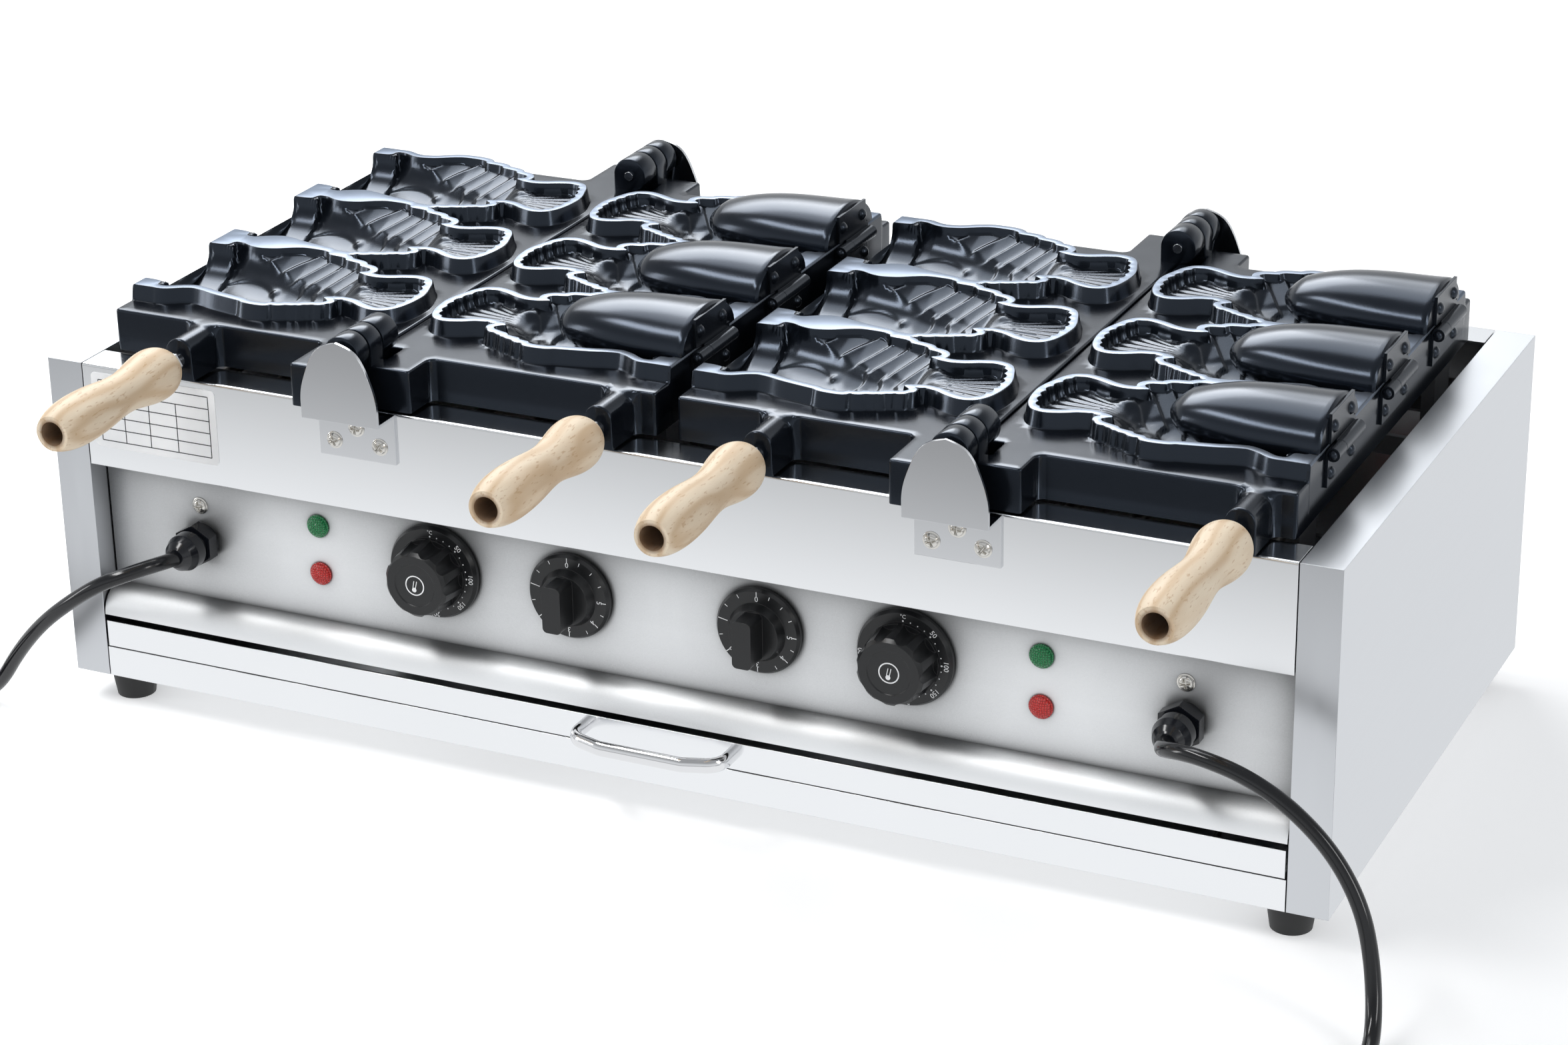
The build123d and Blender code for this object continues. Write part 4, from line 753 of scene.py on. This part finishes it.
    def depth(self, u, v, s):
        """How far the mould's surface lies below the rim, s millimetres in from the hollow's edge."""
        off = (v - table(u, BELLY_MIDDLE)) / table(u, BELLY_HALF)
        bowl = table(u, BELLY_DEPTH) * np.sqrt(np.clip(1.0 - off ** 2, 0.0, 1.0))
        gill = smooth((GILL_RADIUS - np.hypot(u - GILL_PLACE[0], v - GILL_PLACE[1])) / GILL_EDGE)
        bowl = bowl + (self.scales(u, v) + GILL_STEP * gill) * smooth((bowl - 5.0) / 5.0)
        for bu, bv, radius, rise in BUMPS:
            bowl = bowl - rise * np.exp(-((u - bu) ** 2 + (v - bv) ** 2) / radius ** 2)
        fins = self.fins(u, v)
        part = np.clip(0.5 + 0.5 * (bowl - fins) / BLEND, 0, 1)
        body = fins * (1 - part) + bowl * part + BLEND * part * (1 - part)
        tail = smooth((TAIL_START - u) / TAIL_FADE)
        fan = TAIL_DEPTH + TAIL_SLOPE * (TAIL_START - u) - RIB_RISE * self.ribs(u, v)
        floor = body * (1 - tail) + tail * fan
        # collar at the mouth, stepped in from the head; its far end drops so that the horn's leaf clears it
        # when the moulds close
        collar = COLLAR_DEPTH * np.sqrt(np.clip(1.0 - (v / COLLAR_HALF) ** 2, 0.0, 1.0))
        collar = collar + COLLAR_DROP * smooth((u - COLLAR_LIP) / 1.2)
        in_collar = smooth((u - COLLAR_START + 0.28 * floor) / 2.0)
        floor = floor * (1 - in_collar) + collar * in_collar
        wall = (WALL_SLOPE * (1 - in_collar) + COLLAR_WALL_SLOPE * in_collar) * np.clip(s, 0, None)
        h = np.clip(0.5 + 0.5 * (wall - floor) / WALL_FOOT, 0, 1)
        return np.maximum(wall * (1 - h) + floor * h - WALL_FOOT * h * (1 - h), 0.0)

    def height(self, u, y):
        """Top surface."""
        d, r, e = self.inner(u, y), self.outer(u, y), self.edge(u, y)
        arm = u - HANDLE_U[self.hand]
        arch = ARM_TOP - sagged(arm, ARM_HALF_WIDTH)
        on_arm = smooth((PLATE_FRONT - y) / 5.0) * (u > LUG_HALF_WIDTH + 6.0)
        ground = FLANGE_TOP * (1 - on_arm) + arch * on_arm
        low = ground + sagged(np.clip(WALL_RUN + FOOT_FILLET - r, 0.0, FOOT_FILLET), FOOT_FILLET)
        top = low + np.clip((WALL_RUN - r) / WALL_RUN, 0.0, 1.0) * (RIM_TOP - BROW - low)
        top = top + np.where(r < 0, BROW - sagged(BROW - np.clip(-r, 0, BROW), BROW), 0.0)
        top = top - sagged(np.clip(EDGE_ROUND - e, 0, EDGE_ROUND), EDGE_ROUND)
        top = top - sagged(LIP - np.clip(d, 0, LIP), LIP)
        return np.where(d <= 0, RIM_TOP - LIP - self.depth(u, self.local(y), -d), top)


def contour(field, xs, ys, level):
    """Points and segments of one level line of a gridded field."""
    g = field - level
    across = (g[:, :-1] > 0) != (g[:, 1:] > 0)
    along = (g[:-1, :] > 0) != (g[1:, :] > 0)
    h_id, v_id = np.full(across.shape, -1), np.full(along.shape, -1)
    jh, ih = np.nonzero(across)
    jv, iv = np.nonzero(along)
    h_id[jh, ih] = np.arange(len(jh))
    v_id[jv, iv] = len(jh) + np.arange(len(jv))
    th = np.clip(g[jh, ih] / (g[jh, ih] - g[jh, ih + 1]), 0.25, 0.75)
    tv = np.clip(g[jv, iv] / (g[jv, iv] - g[jv + 1, iv]), 0.25, 0.75)
    points = np.concatenate([np.stack([xs[ih] + th * (xs[ih + 1] - xs[ih]), ys[jh]], 1),
                             np.stack([xs[iv], ys[jv] + tv * (ys[jv + 1] - ys[jv])], 1)])
    cell = np.stack([h_id[:-1, :], v_id[:, 1:], h_id[1:, :], v_id[:, :-1]], -1)
    count = (cell >= 0).sum(-1)
    segments = [[k for k in cell[j, i] if k >= 0] for j, i in zip(*np.nonzero(count == 2))]
    for j, i in zip(*np.nonzero(count == 4)):
        low, right_, high, left_ = cell[j, i]
        same = (g[j, i] > 0) == (g[j:j + 2, i:i + 2].mean() > 0)
        segments += [[low, right_], [high, left_]] if same else [[low, left_], [right_, high]]
    return points, segments


def settled(field, points, level):
    """The same points moved square to a level line until they lie on it."""
    step = 0.02
    for _ in range(2):
        u, y = points.T
        slope = np.stack([field(u + step, y) - field(u - step, y),
                          field(u, y + step) - field(u, y - step)], 1) / (2 * step)
        size = np.maximum((slope ** 2).sum(1), 0.25)
        points = points - np.clip((field(u, y) - level) / size, -0.4, 0.4)[:, None] * slope
    return points


def lattice(us, ys):
    return np.stack(np.meshgrid(us, ys), -1).reshape(-1, 2)


CONTOUR_GRID, FINE_GRID, COARSE_GRID = 0.8, 1.05, 5.0
INNER_LEVELS = (-4.0, -2.4, -1.2, -0.5, 0.0, 0.25, LIP)
OUTER_LEVELS = (-BROW, -0.3, 0.0, WALL_RUN, WALL_RUN + 0.7, WALL_RUN + FOOT_FILLET)
EDGE_LEVELS = (0.25, 0.8, EDGE_ROUND + 0.1)
CHAMFER = 0.8


def top_sheet(plate):
    """Points in plan and triangles of a plate's top, whose edges follow the level lines of its fields."""
    points, segments = [], []

    def take(spots, links=()):
        segments.append(np.array(links, int).reshape(-1, 2) + sum(map(len, points)))
        points.append(spots)

    xs = np.arange(-2.0, PLATE_OUTER + 3.0, CONTOUR_GRID)
    ys = np.arange(FRONT - 18.0, BACK + 18.0, CONTOUR_GRID)
    for field, levels in ((plate.inner, INNER_LEVELS), (plate.outer, OUTER_LEVELS),
                          (plate.edge, EDGE_LEVELS)):
        grid = field(*np.meshgrid(xs, ys))
        for level_ in levels:
            line, links = contour(grid, xs, ys, level_)
            take(settled(field, line, level_), links)
    ring = np.arange(len(plate.outline))
    take(plate.outline, np.stack([ring, np.roll(ring, -1)], 1))
    hollow = lattice(np.arange(0, PLATE_OUTER, FINE_GRID), np.arange(PLATE_FRONT, PLATE_BACK, FINE_GRID))
    take(hollow[(plate.inner(*hollow.T) < -4.3) & (plate.edge(*hollow.T) > 0.5)])
    flange = lattice(np.arange(2, PLATE_OUTER, COARSE_GRID), np.arange(FRONT - 14, BACK + 14, COARSE_GRID))
    take(flange[(plate.inner(*flange.T) > 3) & (plate.outer(*flange.T) > WALL_RUN + FOOT_FILLET + 1)
                & (plate.edge(*flange.T) > EDGE_ROUND + 1.5)])
    across = ARM_HALF_WIDTH * np.sin(np.linspace(-1.35, 1.35, 17))
    take(lattice(HANDLE_U[plate.hand] + across, np.arange(ARM_END + 2.0, PLATE_FRONT - 0.9, 1.5)))

    made = delaunay_2d_cdt([Vector(p) for p in np.concatenate(points)],
                           [tuple(e) for e in np.concatenate(segments).tolist()], [], 0, 1e-4, False)
    spots = np.array([tuple(p) for p in made[0]])
    tris = np.array([tuple(t) for t in made[2]])
    tris = tris[plate.edge(*spots[tris].mean(axis=1).T) > 0]
    used = np.unique(tris)
    where = np.full(len(spots), -1)
    where[used] = np.arange(len(used))
    spots, tris = spots[used], where[tris]
    a, b, c = (spots[tris[:, k]] for k in range(3))
    turn = (b[:, 0] - a[:, 0]) * (c[:, 1] - a[:, 1]) - (b[:, 1] - a[:, 1]) * (c[:, 0] - a[:, 0])
    tris[turn < 0] = tris[turn < 0][:, ::-1]
    return spots, tris


def plate_mesh(plate):
    """Points, faces and materials of one plate: a top sheet, a skirt and a flat underside."""
    spots, tris = top_sheet(plate)
    sides = dict.fromkeys((t[k], t[(k + 1) % 3]) for t in tris for k in range(3))
    rim_edges = [(i, j) for i, j in sides if (j, i) not in sides]
    loop = sorted({i for e in rim_edges for i in e})
    order = {i: k for k, i in enumerate(loop)}
    rows = [np.column_stack([spots, plate.height(*spots.T)])]
    for z in (PLATE_BOTTOM + CHAMFER, PLATE_BOTTOM):
        rows.append(np.column_stack([spots[loop], np.full(len(loop), z)]))
    skirt = len(spots)
    base = skirt + len(loop)

    faces = [tuple(map(int, t)) for t in tris]
    middle = spots[tris].mean(axis=1).T
    chosen = list(((plate.inner(*middle) > 0.5) & (plate.outer(*middle) < -0.6)).astype(int))
    for i, j in rim_edges:
        p, q = order[i], order[j]
        faces += [(j, i, skirt + p, skirt + q), (skirt + q, skirt + p, base + p, base + q)]
    made = delaunay_2d_cdt([Vector(spots[i]) for i in loop], [(order[i], order[j]) for i, j in rim_edges],
                           [], 0, 1e-6, False)
    under = np.array([tuple(t) for t in made[2]])
    corner = spots[loop][under]
    for t, (p, q, r), inside in zip(under, corner, plate.edge(*corner.mean(axis=1).T) > 0):
        if inside:
            ccw = (q[0] - p[0]) * (r[1] - p[1]) - (q[1] - p[1]) * (r[0] - p[0]) > 0
            t = [base + int(k) for k in t]
            faces.append(tuple(t[::-1] if ccw else t))
    return np.concatenate(rows), faces, chosen + [0] * (len(faces) - len(chosen))


def ring_mesh(y0, y1):
    """One hinge ring round the pin, arched on top and straight-sided down to its lug, with eased edges."""
    soft = 1.1
    points = []
    for y, inset in ((y0, soft), (y0 + soft * 0.3, soft * 0.3), (y0 + soft, 0.0),
                     (y1 - soft, 0.0), (y1 - soft * 0.3, soft * 0.3), (y1, soft)):
        radius = KNUCKLE_RADIUS - inset
        points += [(radius * cos(a), y, PIN_HEIGHT + radius * sin(a))
                   for a in np.linspace(-0.35 * pi, pi, 40)]
        points += [(-radius, y, PLATE_BOTTOM + 5), (1.2, y, PLATE_BOTTOM + 5)]
    return points, flip(skinned(6, len(points) // 6))


shapes = {}
for hand in SIDES:
    points, faces, chosen = plate_mesh(Plate(hand))
    rings = []
    for y0, y1 in KNUCKLES[hand]:
        for low, high in ((FRONT + y0, FRONT + y1), (BACK - y1, BACK - y0)):
            ring_points, ring_faces = ring_mesh(low, high)
            rings.append(([(-x, y, z) for x, y, z in ring_points], flip(ring_faces)))
    points, faces = joined([(points, faces), *rings])
    shapes[hand] = (np.array(points), faces, chosen + [0] * (len(faces) - len(chosen)))
    print(hand, "plate faces", len(faces))

# Painted highlight on the rim lands: lightest towards the tail, fading along the fish to the mouth, and
# fading more to the back
RIM_HIGHLIGHT = [(70, 1.0), (110, 0.72), (150, 0.42), (182, 0.3)]
for unit, axis in UNITS.items():
    for hand, side in SIDES.items():
        spots, faces, chosen = shapes[hand]
        plate_piece = mesh_piece(f"{unit}_unit_{hand}_plate", spots * (side, 1, 1) + (axis, 0, 0),
                                 faces if side > 0 else flip(faces), f"{unit}_unit_{hand}_half",
                                 [CASTING, GROUND_RIM], "nonstick_casting", chosen, 42.0,
                                 f"{unit}_unit_{hand}_mould")
        shade = table(spots[:, 0], RIM_HIGHLIGHT) * (1 - 0.3 * smooth((spots[:, 1] - FIRST_FISH - 120.0) / 60.0))
        layer = plate_piece.data.attributes.new("rim_highlight", "FLOAT", "POINT")
        layer.data.foreach_set("value", shade.astype(np.float32))


# ---------------------------------------------------------------- horns

HORN_GROWTH = [np.polyfit(HORN_BODY[:, 0], HORN_BODY[:, k], 3) for k in (1, 2)]
HORN_TURNS = 72


def horn_ring(axis, middle, u, inset=0.0, floor=0.0):
    """One cross-section of a horn, flattened where it would go below floor."""
    if u < HORN_SHOULDER:
        t = (u - HORN_NOSE) / (HORN_SHOULDER - HORN_NOSE)
        wide, high = 20.0 * t ** 0.56, 12.0 * t ** 0.62
    else:
        wide, high = (float(np.polyval(g, u)) for g in HORN_GROWTH)
    return [(axis + u, middle + (wide - inset) * cos(a), max(PIN_HEIGHT + (high - inset) * sin(a), floor))
            for a in circle(HORN_TURNS)]


def horn_mesh(axis, middle):
    """A blunt nose, a widening body, and past the end of its lower half a tongue that lies over the rim."""
    stations = [*(np.linspace(0.0, 1.0, 9)[1:] ** 2 * (HORN_SHOULDER - HORN_NOSE) + HORN_NOSE),
                *np.linspace(HORN_SHOULDER, HORN_LOWER_END, 22)[1:]]
    cuts = [(u, 0.0, 0.0) for u in stations] + [
        (HORN_LOWER_END, 0.0, HORN_LAP), (HORN_FACE - 1.8, 0.0, HORN_LAP), (HORN_FACE - 1.2, 0.35, HORN_LAP),
        (HORN_FACE, 1.5, HORN_LAP)]
    points = [(axis + HORN_NOSE, middle, PIN_HEIGHT)]
    for cut in cuts:
        points += horn_ring(axis, middle, *cut)
    nose = [(0, 1 + (k + 1) % HORN_TURNS, 1 + k) for k in range(HORN_TURNS)]
    return points, flip(nose + skinned(len(cuts), HORN_TURNS, 1)[1:])


for unit, axis in UNITS.items():
    for number, place in enumerate(PLACES):
        horn = f"{unit}_unit_{place}_horn"
        mesh_piece(f"{horn}_core", *horn_mesh(axis, FIRST_FISH + number * FISH_PITCH), f"{horn}_swing",
                   [CASTING], "nonstick_casting", crease=35.0, node=horn)


# ---------------------------------------------------------------- printed dials

PRINT_HALF = 0.04
THERMOSTAT_FIGURES = [(50, 45), (100, 90), (150, 133), (200, 178), (250, 223), (300, 268)]
TIMER_FIGURES = [(0, 0), (5, 90), (4, 130), (3, 180), (2, 232), (1, 282)]
TIMER_STROKES = (20, 42, 64, 110, 150, 205, 257, 305, 330)


def spun(flat, place, turn):
    """Points (right, up, out) turned anticlockwise by degrees, seen from the front, and moved to place."""
    x0, y0, z0 = place
    c, s = cos(radians(turn)), sin(radians(turn))
    return [(x0 + a * c - b * s, y0 - out, z0 + a * s + b * c) for a, b, out in flat]


def words(text, size, place, turn=0.0):
    """Flat lettering facing -Y as (points, faces)."""
    data = bpy.data.curves.new("words", "FONT")
    data.body = text
    data.size = size
    data.align_x, data.align_y = "CENTER", "CENTER"
    data.extrude = PRINT_HALF
    data.resolution_u = 3
    thing = bpy.data.objects.new("words", data)
    mesh = bpy.data.meshes.new_from_object(thing)
    made = spun([v.co for v in mesh.vertices], place, turn), [tuple(p.vertices) for p in mesh.polygons]
    bpy.data.objects.remove(thing)
    bpy.data.curves.remove(data)
    bpy.data.meshes.remove(mesh)
    return made


def bar(length, width, place, turn):
    """A printed stroke facing -Y."""
    box = [(a * length / 2, b * width / 2, out) for out in (PRINT_HALF, -PRINT_HALF)
           for a, b in ((-1, -1), (1, -1), (1, 1), (-1, 1))]
    return spun(box, place, turn), flip(skinned(2, 4))


def dot(radius, place):
    return lathe([(-PRINT_HALF, radius), (PRINT_HALF, radius)], place, 16)


def ring_print(radius, width, place, turns=48):
    x0, y0, z0 = place
    square = [(radius, PRINT_HALF), (radius, -PRINT_HALF), (radius + width, -PRINT_HALF),
              (radius + width, PRINT_HALF)]
    points = [(x0 + r * cos(a), y0 + y, z0 + r * sin(a)) for a in circle(turns) for r, y in square]
    faces = [(k * 4 + j, n * 4 + j, n * 4 + (j + 1) % 4, k * 4 + (j + 1) % 4)
             for k in range(turns) for n in [(k + 1) % turns] for j in range(4)]
    return points, faces


def around(x, radius, clockwise, y):
    """A place on a dial, that many degrees clockwise from the top seen from the front."""
    a = radians(90 - clockwise)
    return (x + radius * cos(a), y, KNOB_HEIGHT + radius * sin(a))


for name, side in SIDES.items():
    x = side * THERMOSTAT_X
    skirt_y, cap_y = PANEL_Y - 6.04, PANEL_Y - 26.05
    marks = [words("°C", 3.3, around(x, 26.1, 0, skirt_y)), dot(0.55, around(x, 23.5, 0, skirt_y))]
    for value, angle in THERMOSTAT_FIGURES:
        marks += [words(str(value), 4.3, around(x, 26.1, angle, skirt_y), -angle),
                  dot(0.55, around(x, 23.5, angle, skirt_y))]
        marks += [dot(0.38, around(x, 23.5, angle - 45 + part * 11.2, skirt_y)) for part in (1, 2, 3)]
    marks += [ring_print(5.6, 0.75, (x, cap_y, KNOB_HEIGHT)), dot(1.5, (x - 0.5, cap_y, KNOB_HEIGHT - 2.8))]
    marks += [bar(4.6, 0.45, (x + dx, cap_y, KNOB_HEIGHT + 0.6), 78) for dx in (-0.9, 0.9)]
    mesh_piece(f"{name}_thermostat_print", *joined(marks), f"{name}_thermostat_dial", [PRINT],
               "knob_plastic")

    x = side * TIMER_X
    disc_y = PANEL_Y - 5.54
    marks = []
    for value, angle in TIMER_FIGURES:
        marks += [words(str(value), 4.7, around(x, 20.3, angle, disc_y), -angle),
                  bar(3.0, 0.5, around(x, 23.4, angle, disc_y), 90 - angle)]
    marks += [bar(2.2, 0.4, around(x, 23.4, angle, disc_y), 90 - angle) for angle in TIMER_STROKES]
    mesh_piece(f"{name}_timer_print", *joined(marks), f"{name}_timer_dial", [PRINT], "knob_plastic")


# ---------------------------------------------------------------- pilot lamps

LENS_RADIUS, PRISM_PITCH, PRISM_HEIGHT = 6.3, 1.55, 0.42


def prism_lens(x, z):
    """Bezel flange and a lens whose face is a field of small pyramids on a dome."""
    bezel = lathe([(-13.9, 4.9), (0.0, 4.9), (0.0, LAMP_RADIUS - 0.3), (0.3, LAMP_RADIUS),
                   (1.2, LAMP_RADIUS), (1.5, LAMP_RADIUS - 0.4), (1.5, 6.4)], (x, PANEL_Y, z), 48)
    rings, turns = 34, 96
    points = []
    for i in range(rings + 1):
        r = LENS_RADIUS * i / rings
        dome = 1.4 + 3.1 * sqrt(max(0.0, 1 - (r / (LENS_RADIUS + 0.05)) ** 2))
        rise = PRISM_HEIGHT * min(1.0, (LENS_RADIUS - r) / 0.8)
        for a in circle(turns):
            px, pz = r * cos(a), r * sin(a)
            ridge = [1 - abs(((q * 0.7071 / PRISM_PITCH) % 1.0) * 2 - 1) for q in (px + pz, px - pz)]
            points.append((x + px, PANEL_Y - dome - rise * min(ridge), z + pz))
    quads = skinned(rings + 1, turns)[1:-1]
    middle = [(a, c, d) for a, _, c, d in quads[:turns]]
    return joined([bezel, (points, flip(middle + quads[turns:]))])


for colour, material in LENSES.items():
    for name, side in SIDES.items():
        mesh_piece(f"{name}_{colour}_lens", *prism_lens(side * LAMP_X, LAMP_HEIGHTS[colour]), "cabinet",
                   [material], f"{colour}_lens", crease=20.0, node=f"{colour}_lamps")


# ---------------------------------------------------------------- label and screws

LABEL_X, LABEL_Z = (-377.0, -289.0), (BASE + 155.5, BASE + 203.5)
LABEL_SHEET, LABEL_CORNER = 0.25, 3.0

outline = []
for cx, cz, start in ((LABEL_X[1] - LABEL_CORNER, LABEL_Z[1] - LABEL_CORNER, 0),
                      (LABEL_X[0] + LABEL_CORNER, LABEL_Z[1] - LABEL_CORNER, 90),
                      (LABEL_X[0] + LABEL_CORNER, LABEL_Z[0] + LABEL_CORNER, 180),
                      (LABEL_X[1] - LABEL_CORNER, LABEL_Z[0] + LABEL_CORNER, 270)):
    for a in (radians(start + 15 * step) for step in range(7)):
        outline.append((cx + LABEL_CORNER * cos(a), cz + LABEL_CORNER * sin(a)))
points = [(x, y, z) for y in (FRONT, FRONT - LABEL_SHEET) for x, z in outline]
mesh_piece("blank_label", points, skinned(2, len(outline)), "cabinet", [STICKER], "stainless")

wide, high = LABEL_X[1] - LABEL_X[0] - 10, LABEL_Z[1] - LABEL_Z[0] - 9
cx, cz = sum(LABEL_X) / 2, sum(LABEL_Z) / 2
face_y = FRONT - LABEL_SHEET
rules = [bar(wide, 0.6, (cx, face_y, cz - high / 2 + high * row / 5), 0) for row in range(6)]
for part, tall in ((0.0, high), (0.22, high * 0.8), (0.45, high * 0.8), (0.7, high * 0.8), (1.0, high)):
    rules.append(bar(tall, 0.6, (cx - wide / 2 + wide * part, face_y, cz - (high - tall) / 2), 90))
mesh_piece("label_rules", *joined(rules), "cabinet", [INK], "stainless")

# A pan head's rings, as (radius, height), and its cross recess
HEAD = [(5.3, 0.0), (5.3, 0.35), (5.0, 0.55), (4.35, 0.62), (4.2, 1.1), (3.8, 1.75), (3.1, 2.25), (2.3, 2.5),
        (1.7, 2.55), (1.0, 2.6), (0.5, 2.6)]
CROSS_HALF, CROSS_REACH, CROSS_DEPTH = 0.75, 2.9, 1.5


def phillips(x, z, face, outward, turn):
    """Pan head with a flange and a cross recess, facing outward along Y."""
    b = radians(turn)
    points = []
    for radius, out in HEAD:
        for a in circle(64):
            px, pz = radius * cos(a), radius * sin(a)
            short, long_ = sorted((abs(px * cos(b) + pz * sin(b)), abs(pz * cos(b) - px * sin(b))))
            sunk = [min(1.0, max(0.0, (half - at) / soft))
                    for half, at, soft in ((CROSS_HALF, short, 0.35), (CROSS_REACH, long_, 0.6))]
            up_ = out - CROSS_DEPTH * sunk[0] * sunk[1] if out > CROSS_DEPTH else out
            points.append((x + px, face + outward * up_, z + pz))
    faces = skinned(len(HEAD), 64)
    return points, faces if outward < 0 else flip(faces)


bracket_heads = []
for axis in UNITS.values():
    for k, (dx, z) in enumerate([(-15.3, BASE + 186.5), (15.3, BASE + 186.5), (0.0, BASE + 196.0)]):
        bracket_heads += [phillips(axis + dx, z, FRONT - 2.0, -1, 20 + 33 * k),
                          phillips(axis + dx, z, BACK + 2.0, 1, 50 + 21 * k)]
earth_heads = [phillips(side * GLAND_X, BASE + 119.0, PANEL_Y, -1, 15) for side in SIDES.values()]
for kind, heads in (("bracket", bracket_heads), ("earth", earth_heads)):
    mesh_piece(f"{kind}_screw_heads", *joined(heads), "cabinet", [SCREW_STEEL], "screw_steel", crease=30.0,
               node=f"{kind}_screws")


# ---------------------------------------------------------------- CAD pieces that stay, with their finish

FINISHES = [
    (STAINLESS_SIDE, ["side_panel_left", "side_panel_right"]),
    (STAINLESS, ["front_panel", "base_pan", "rear_panel", "tray_front", "tray_floor", "tray_left_wall",
                 "tray_right_wall", "tray_back_wall"]),
    (RECESSED, ["control_panel"]),
    (CHROME, ["tray_handle"]),
    (INNER_STEEL, ["tray_runners", "heater_shelf"]),
    (RUBBER, ["feet"]),
    (HEATER, ["heating_elements"]),
    (SWITCH, ["thermostats", "timers"]),
    (BRACKET_STEEL, [f"{unit}_unit_{end}_bracket" for unit in UNITS for end in ("front", "rear")]),
    (ROD_STEEL, [f"{unit}_unit_{hand}_handle_rod" for unit in UNITS for hand in SIDES]),
    (LEAF_STEEL, [f"{unit}_unit_{leaf}" for unit in UNITS
                  for leaf in ("fixed_leaves", *(f"{place}_horn_leaf" for place in PLACES))]),
    (KNOB, [f"{name}_{kind}_knob" for name in SIDES for kind in ("thermostat", "timer")]),
    (GLAND, [f"{name}_cable_gland" for name in SIDES]),
]
for unit, axis in UNITS.items():
    for hand, side in SIDES.items():
        wood = beech(f"{unit}_{hand}_beech", axis + side * HANDLE_U[hand])
        FINISHES.append((wood, [f"{unit}_unit_{hand}_grip"]))
for finish, nodes in FINISHES:
    for node in nodes:
        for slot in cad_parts[node].material_slots:
            slot.material = finish
